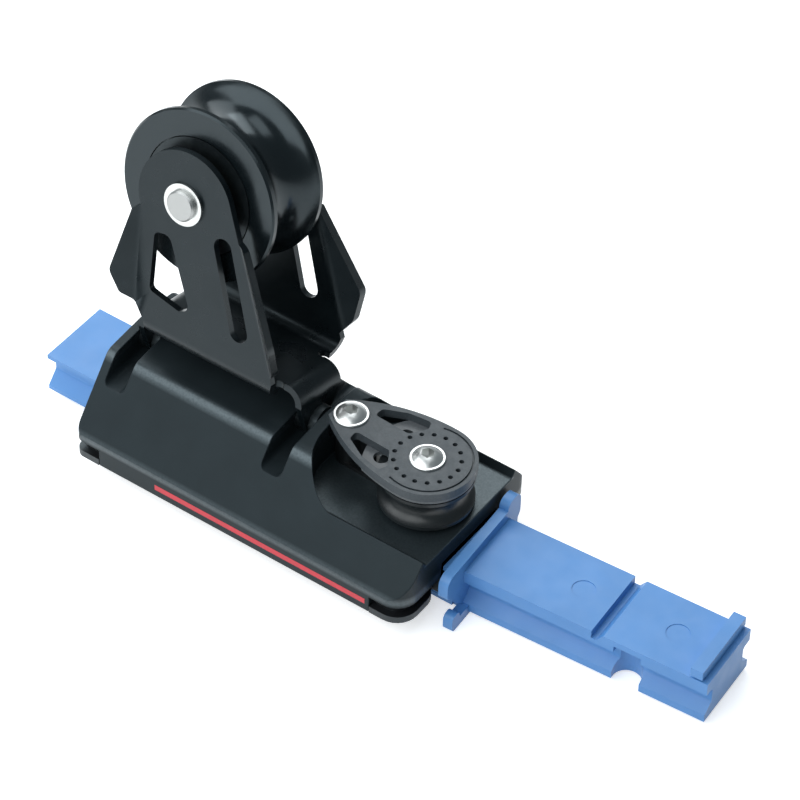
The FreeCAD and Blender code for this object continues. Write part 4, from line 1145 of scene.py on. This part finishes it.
class LEADCAR_OT_studio(Operator):
    """Make the floor, the lamps and the camera"""
    bl_idname = "leadcar.studio"
    bl_label = "Studio"

    def execute(self, context):
        look = context.scene.leadcar_studio
        context.scene.view_settings.view_transform = "Standard"
        self.make_floor(look)
        self.make_world(context, look)
        self.make_lamps()
        self.make_camera(context, look)
        return {"FINISHED"}

    def make_floor(self, look):
        """A square of one quad just under the lowest point of the car."""
        ground = CAD_BOX[0][2] - 0.02 * MM
        half = look.floor_size / 2
        corners = [(-half, -half, ground), (half, -half, ground), (half, half, ground), (-half, half, ground)]
        floor = new_object("floor", corners, [(0, 1, 2, 3)])
        paint = Finish("pale_floor", look.floor, 0.9, Specular_IOR_Level=0.0)
        paint.bump(paint.noise(3 * MM), 0.02 * MM)
        path = paint.node("ShaderNodeLightPath")
        seen = path.outputs["Is Camera Ray"]
        for ray in ("Is Glossy Ray", "Is Transmission Ray"):
            seen = paint.maths("MAXIMUM", seen, path.outputs[ray])
        paint.shader.inputs["Emission Color"].default_value = WHITE
        glow = paint.maths("MULTIPLY", seen, FLOOR_GLOW)
        paint.link(glow, paint.shader.inputs["Emission Strength"])
        floor.data.materials.append(paint.material)

    def make_world(self, context, look):
        """Even light from all round, behind a white backdrop that only the camera sees."""
        world = bpy.data.worlds.new("room")
        world.use_nodes = True
        nodes = world.node_tree.nodes
        links = world.node_tree.links
        sky = nodes["Background"]
        sky.inputs["Color"].default_value = SKY_COLOUR
        sky.inputs["Strength"].default_value = look.world
        backdrop = nodes.new("ShaderNodeBackground")
        backdrop.inputs["Color"].default_value = WHITE
        backdrop.inputs["Strength"].default_value = 1.0
        path = nodes.new("ShaderNodeLightPath")
        either = nodes.new("ShaderNodeMixShader")
        links.new(path.outputs["Is Camera Ray"], either.inputs[0])
        links.new(sky.outputs[0], either.inputs[1])
        links.new(backdrop.outputs[0], either.inputs[2])
        links.new(either.outputs[0], nodes["World Output"].inputs["Surface"])
        context.scene.world = world

    def make_lamps(self):
        """Soft panels that face the car: azimuth and elevation in degrees, distance, size, radiance.

        A panel of w by h metres that shines with radiance L takes pi * w * h * L watts.
        """
        panels = [
            ("front_left_panel", -112, 42, 1.30, 2.15, 1.15, 2.7),
            ("back_left_panel", 160, 30, 1.30, 1.05, 0.85, 2.2),
            ("back_high_panel", 124, 50, 1.30, 0.95, 0.60, 3.6),
            ("overhead_panel", 100, 84, 1.30, 0.75, 0.55, 2.2),
        ]
        for name, azimuth, elevation, distance, width, height, radiance in panels:
            a, e = math.radians(azimuth), math.radians(elevation)
            toward = Vector((math.cos(a) * math.cos(e), math.sin(a) * math.cos(e), math.sin(e)))
            lamp = bpy.data.lights.new(name, "AREA")
            lamp.shape = "RECTANGLE"
            lamp.size = width
            lamp.size_y = height
            lamp.energy = math.pi * width * height * radiance
            lamp.color = LAMP_COLOUR
            obj = bpy.data.objects.new(name, lamp)
            turn = (-toward).to_track_quat("-Z", "Y").to_matrix().to_4x4()
            obj.matrix_world = Matrix.Translation(Vector(LIT_POINT) + toward * distance) @ turn
            bpy.context.scene.collection.objects.link(obj)

    def make_camera(self, context, look):
        """Forward is (-sin a cos e, cos a cos e, -sin e) for azimuth a and elevation e."""
        a, e = look.azimuth, look.elevation
        forward = Vector((-math.sin(a) * math.cos(e), math.cos(a) * math.cos(e), -math.sin(e)))
        right = Vector((math.cos(a), math.sin(a), 0))
        up = right.cross(forward)
        c, s = math.cos(look.roll), math.sin(look.roll)
        level = right * c - up * s
        upright = right * s + up * c
        turn = Matrix((level, upright, -forward)).transposed().to_4x4()
        lens = bpy.data.cameras.new("camera")
        lens.lens = look.lens
        lens.sensor_width = 36
        lens.clip_end = 20
        camera = bpy.data.objects.new("camera", lens)
        camera.matrix_world = Matrix.Translation(Vector(look.aim) - forward * look.distance) @ turn
        context.scene.collection.objects.link(camera)
        context.scene.camera = camera


class LEADCAR_PT_panel(Panel):
    """Lists the operators with their sizes and colours"""
    bl_label = "Lead car"
    bl_idname = "LEADCAR_PT_panel"
    bl_space_type = "VIEW_3D"
    bl_region_type = "UI"
    bl_category = "Lead car"

    def draw(self, context):
        for attribute, group, operators in GROUPS:
            box = self.layout.box()
            for operator in operators:
                box.operator(operator.bl_idname)
            for key in group.__annotations__:
                box.prop(getattr(context.scene, attribute), key)


GROUPS = [
    ("leadcar_body", LEADCAR_PG_body, [LEADCAR_OT_car, LEADCAR_OT_red_lines]),
    ("leadcar_housing", LEADCAR_PG_housing, [LEADCAR_OT_housing]),
    ("leadcar_sheaves", LEADCAR_PG_sheaves, [LEADCAR_OT_sheaves]),
    ("leadcar_block", LEADCAR_PG_block, [LEADCAR_OT_block]),
    ("leadcar_steel", LEADCAR_PG_steel, [LEADCAR_OT_steel]),
    ("leadcar_loader", LEADCAR_PG_loader, [LEADCAR_OT_loader]),
    ("leadcar_studio", LEADCAR_PG_studio, [LEADCAR_OT_studio]),
]


def register():
    for attribute, group, operators in GROUPS:
        bpy.utils.register_class(group)
        setattr(bpy.types.Scene, attribute, PointerProperty(type=group))
        for operator in operators:
            bpy.utils.register_class(operator)
    bpy.utils.register_class(LEADCAR_PT_panel)


def unregister():
    bpy.utils.unregister_class(LEADCAR_PT_panel)
    for attribute, group, operators in reversed(GROUPS):
        for operator in operators:
            bpy.utils.unregister_class(operator)
        delattr(bpy.types.Scene, attribute)
        bpy.utils.unregister_class(group)


def main():
    register()
    bpy.ops.leadcar.studio()
    bpy.ops.leadcar.car()
    bpy.ops.leadcar.red_lines()
    bpy.ops.leadcar.housing()
    bpy.ops.leadcar.sheaves()
    bpy.ops.leadcar.block()
    bpy.ops.leadcar.steel()
    bpy.ops.leadcar.loader()


if __name__ == "__main__":
    main()
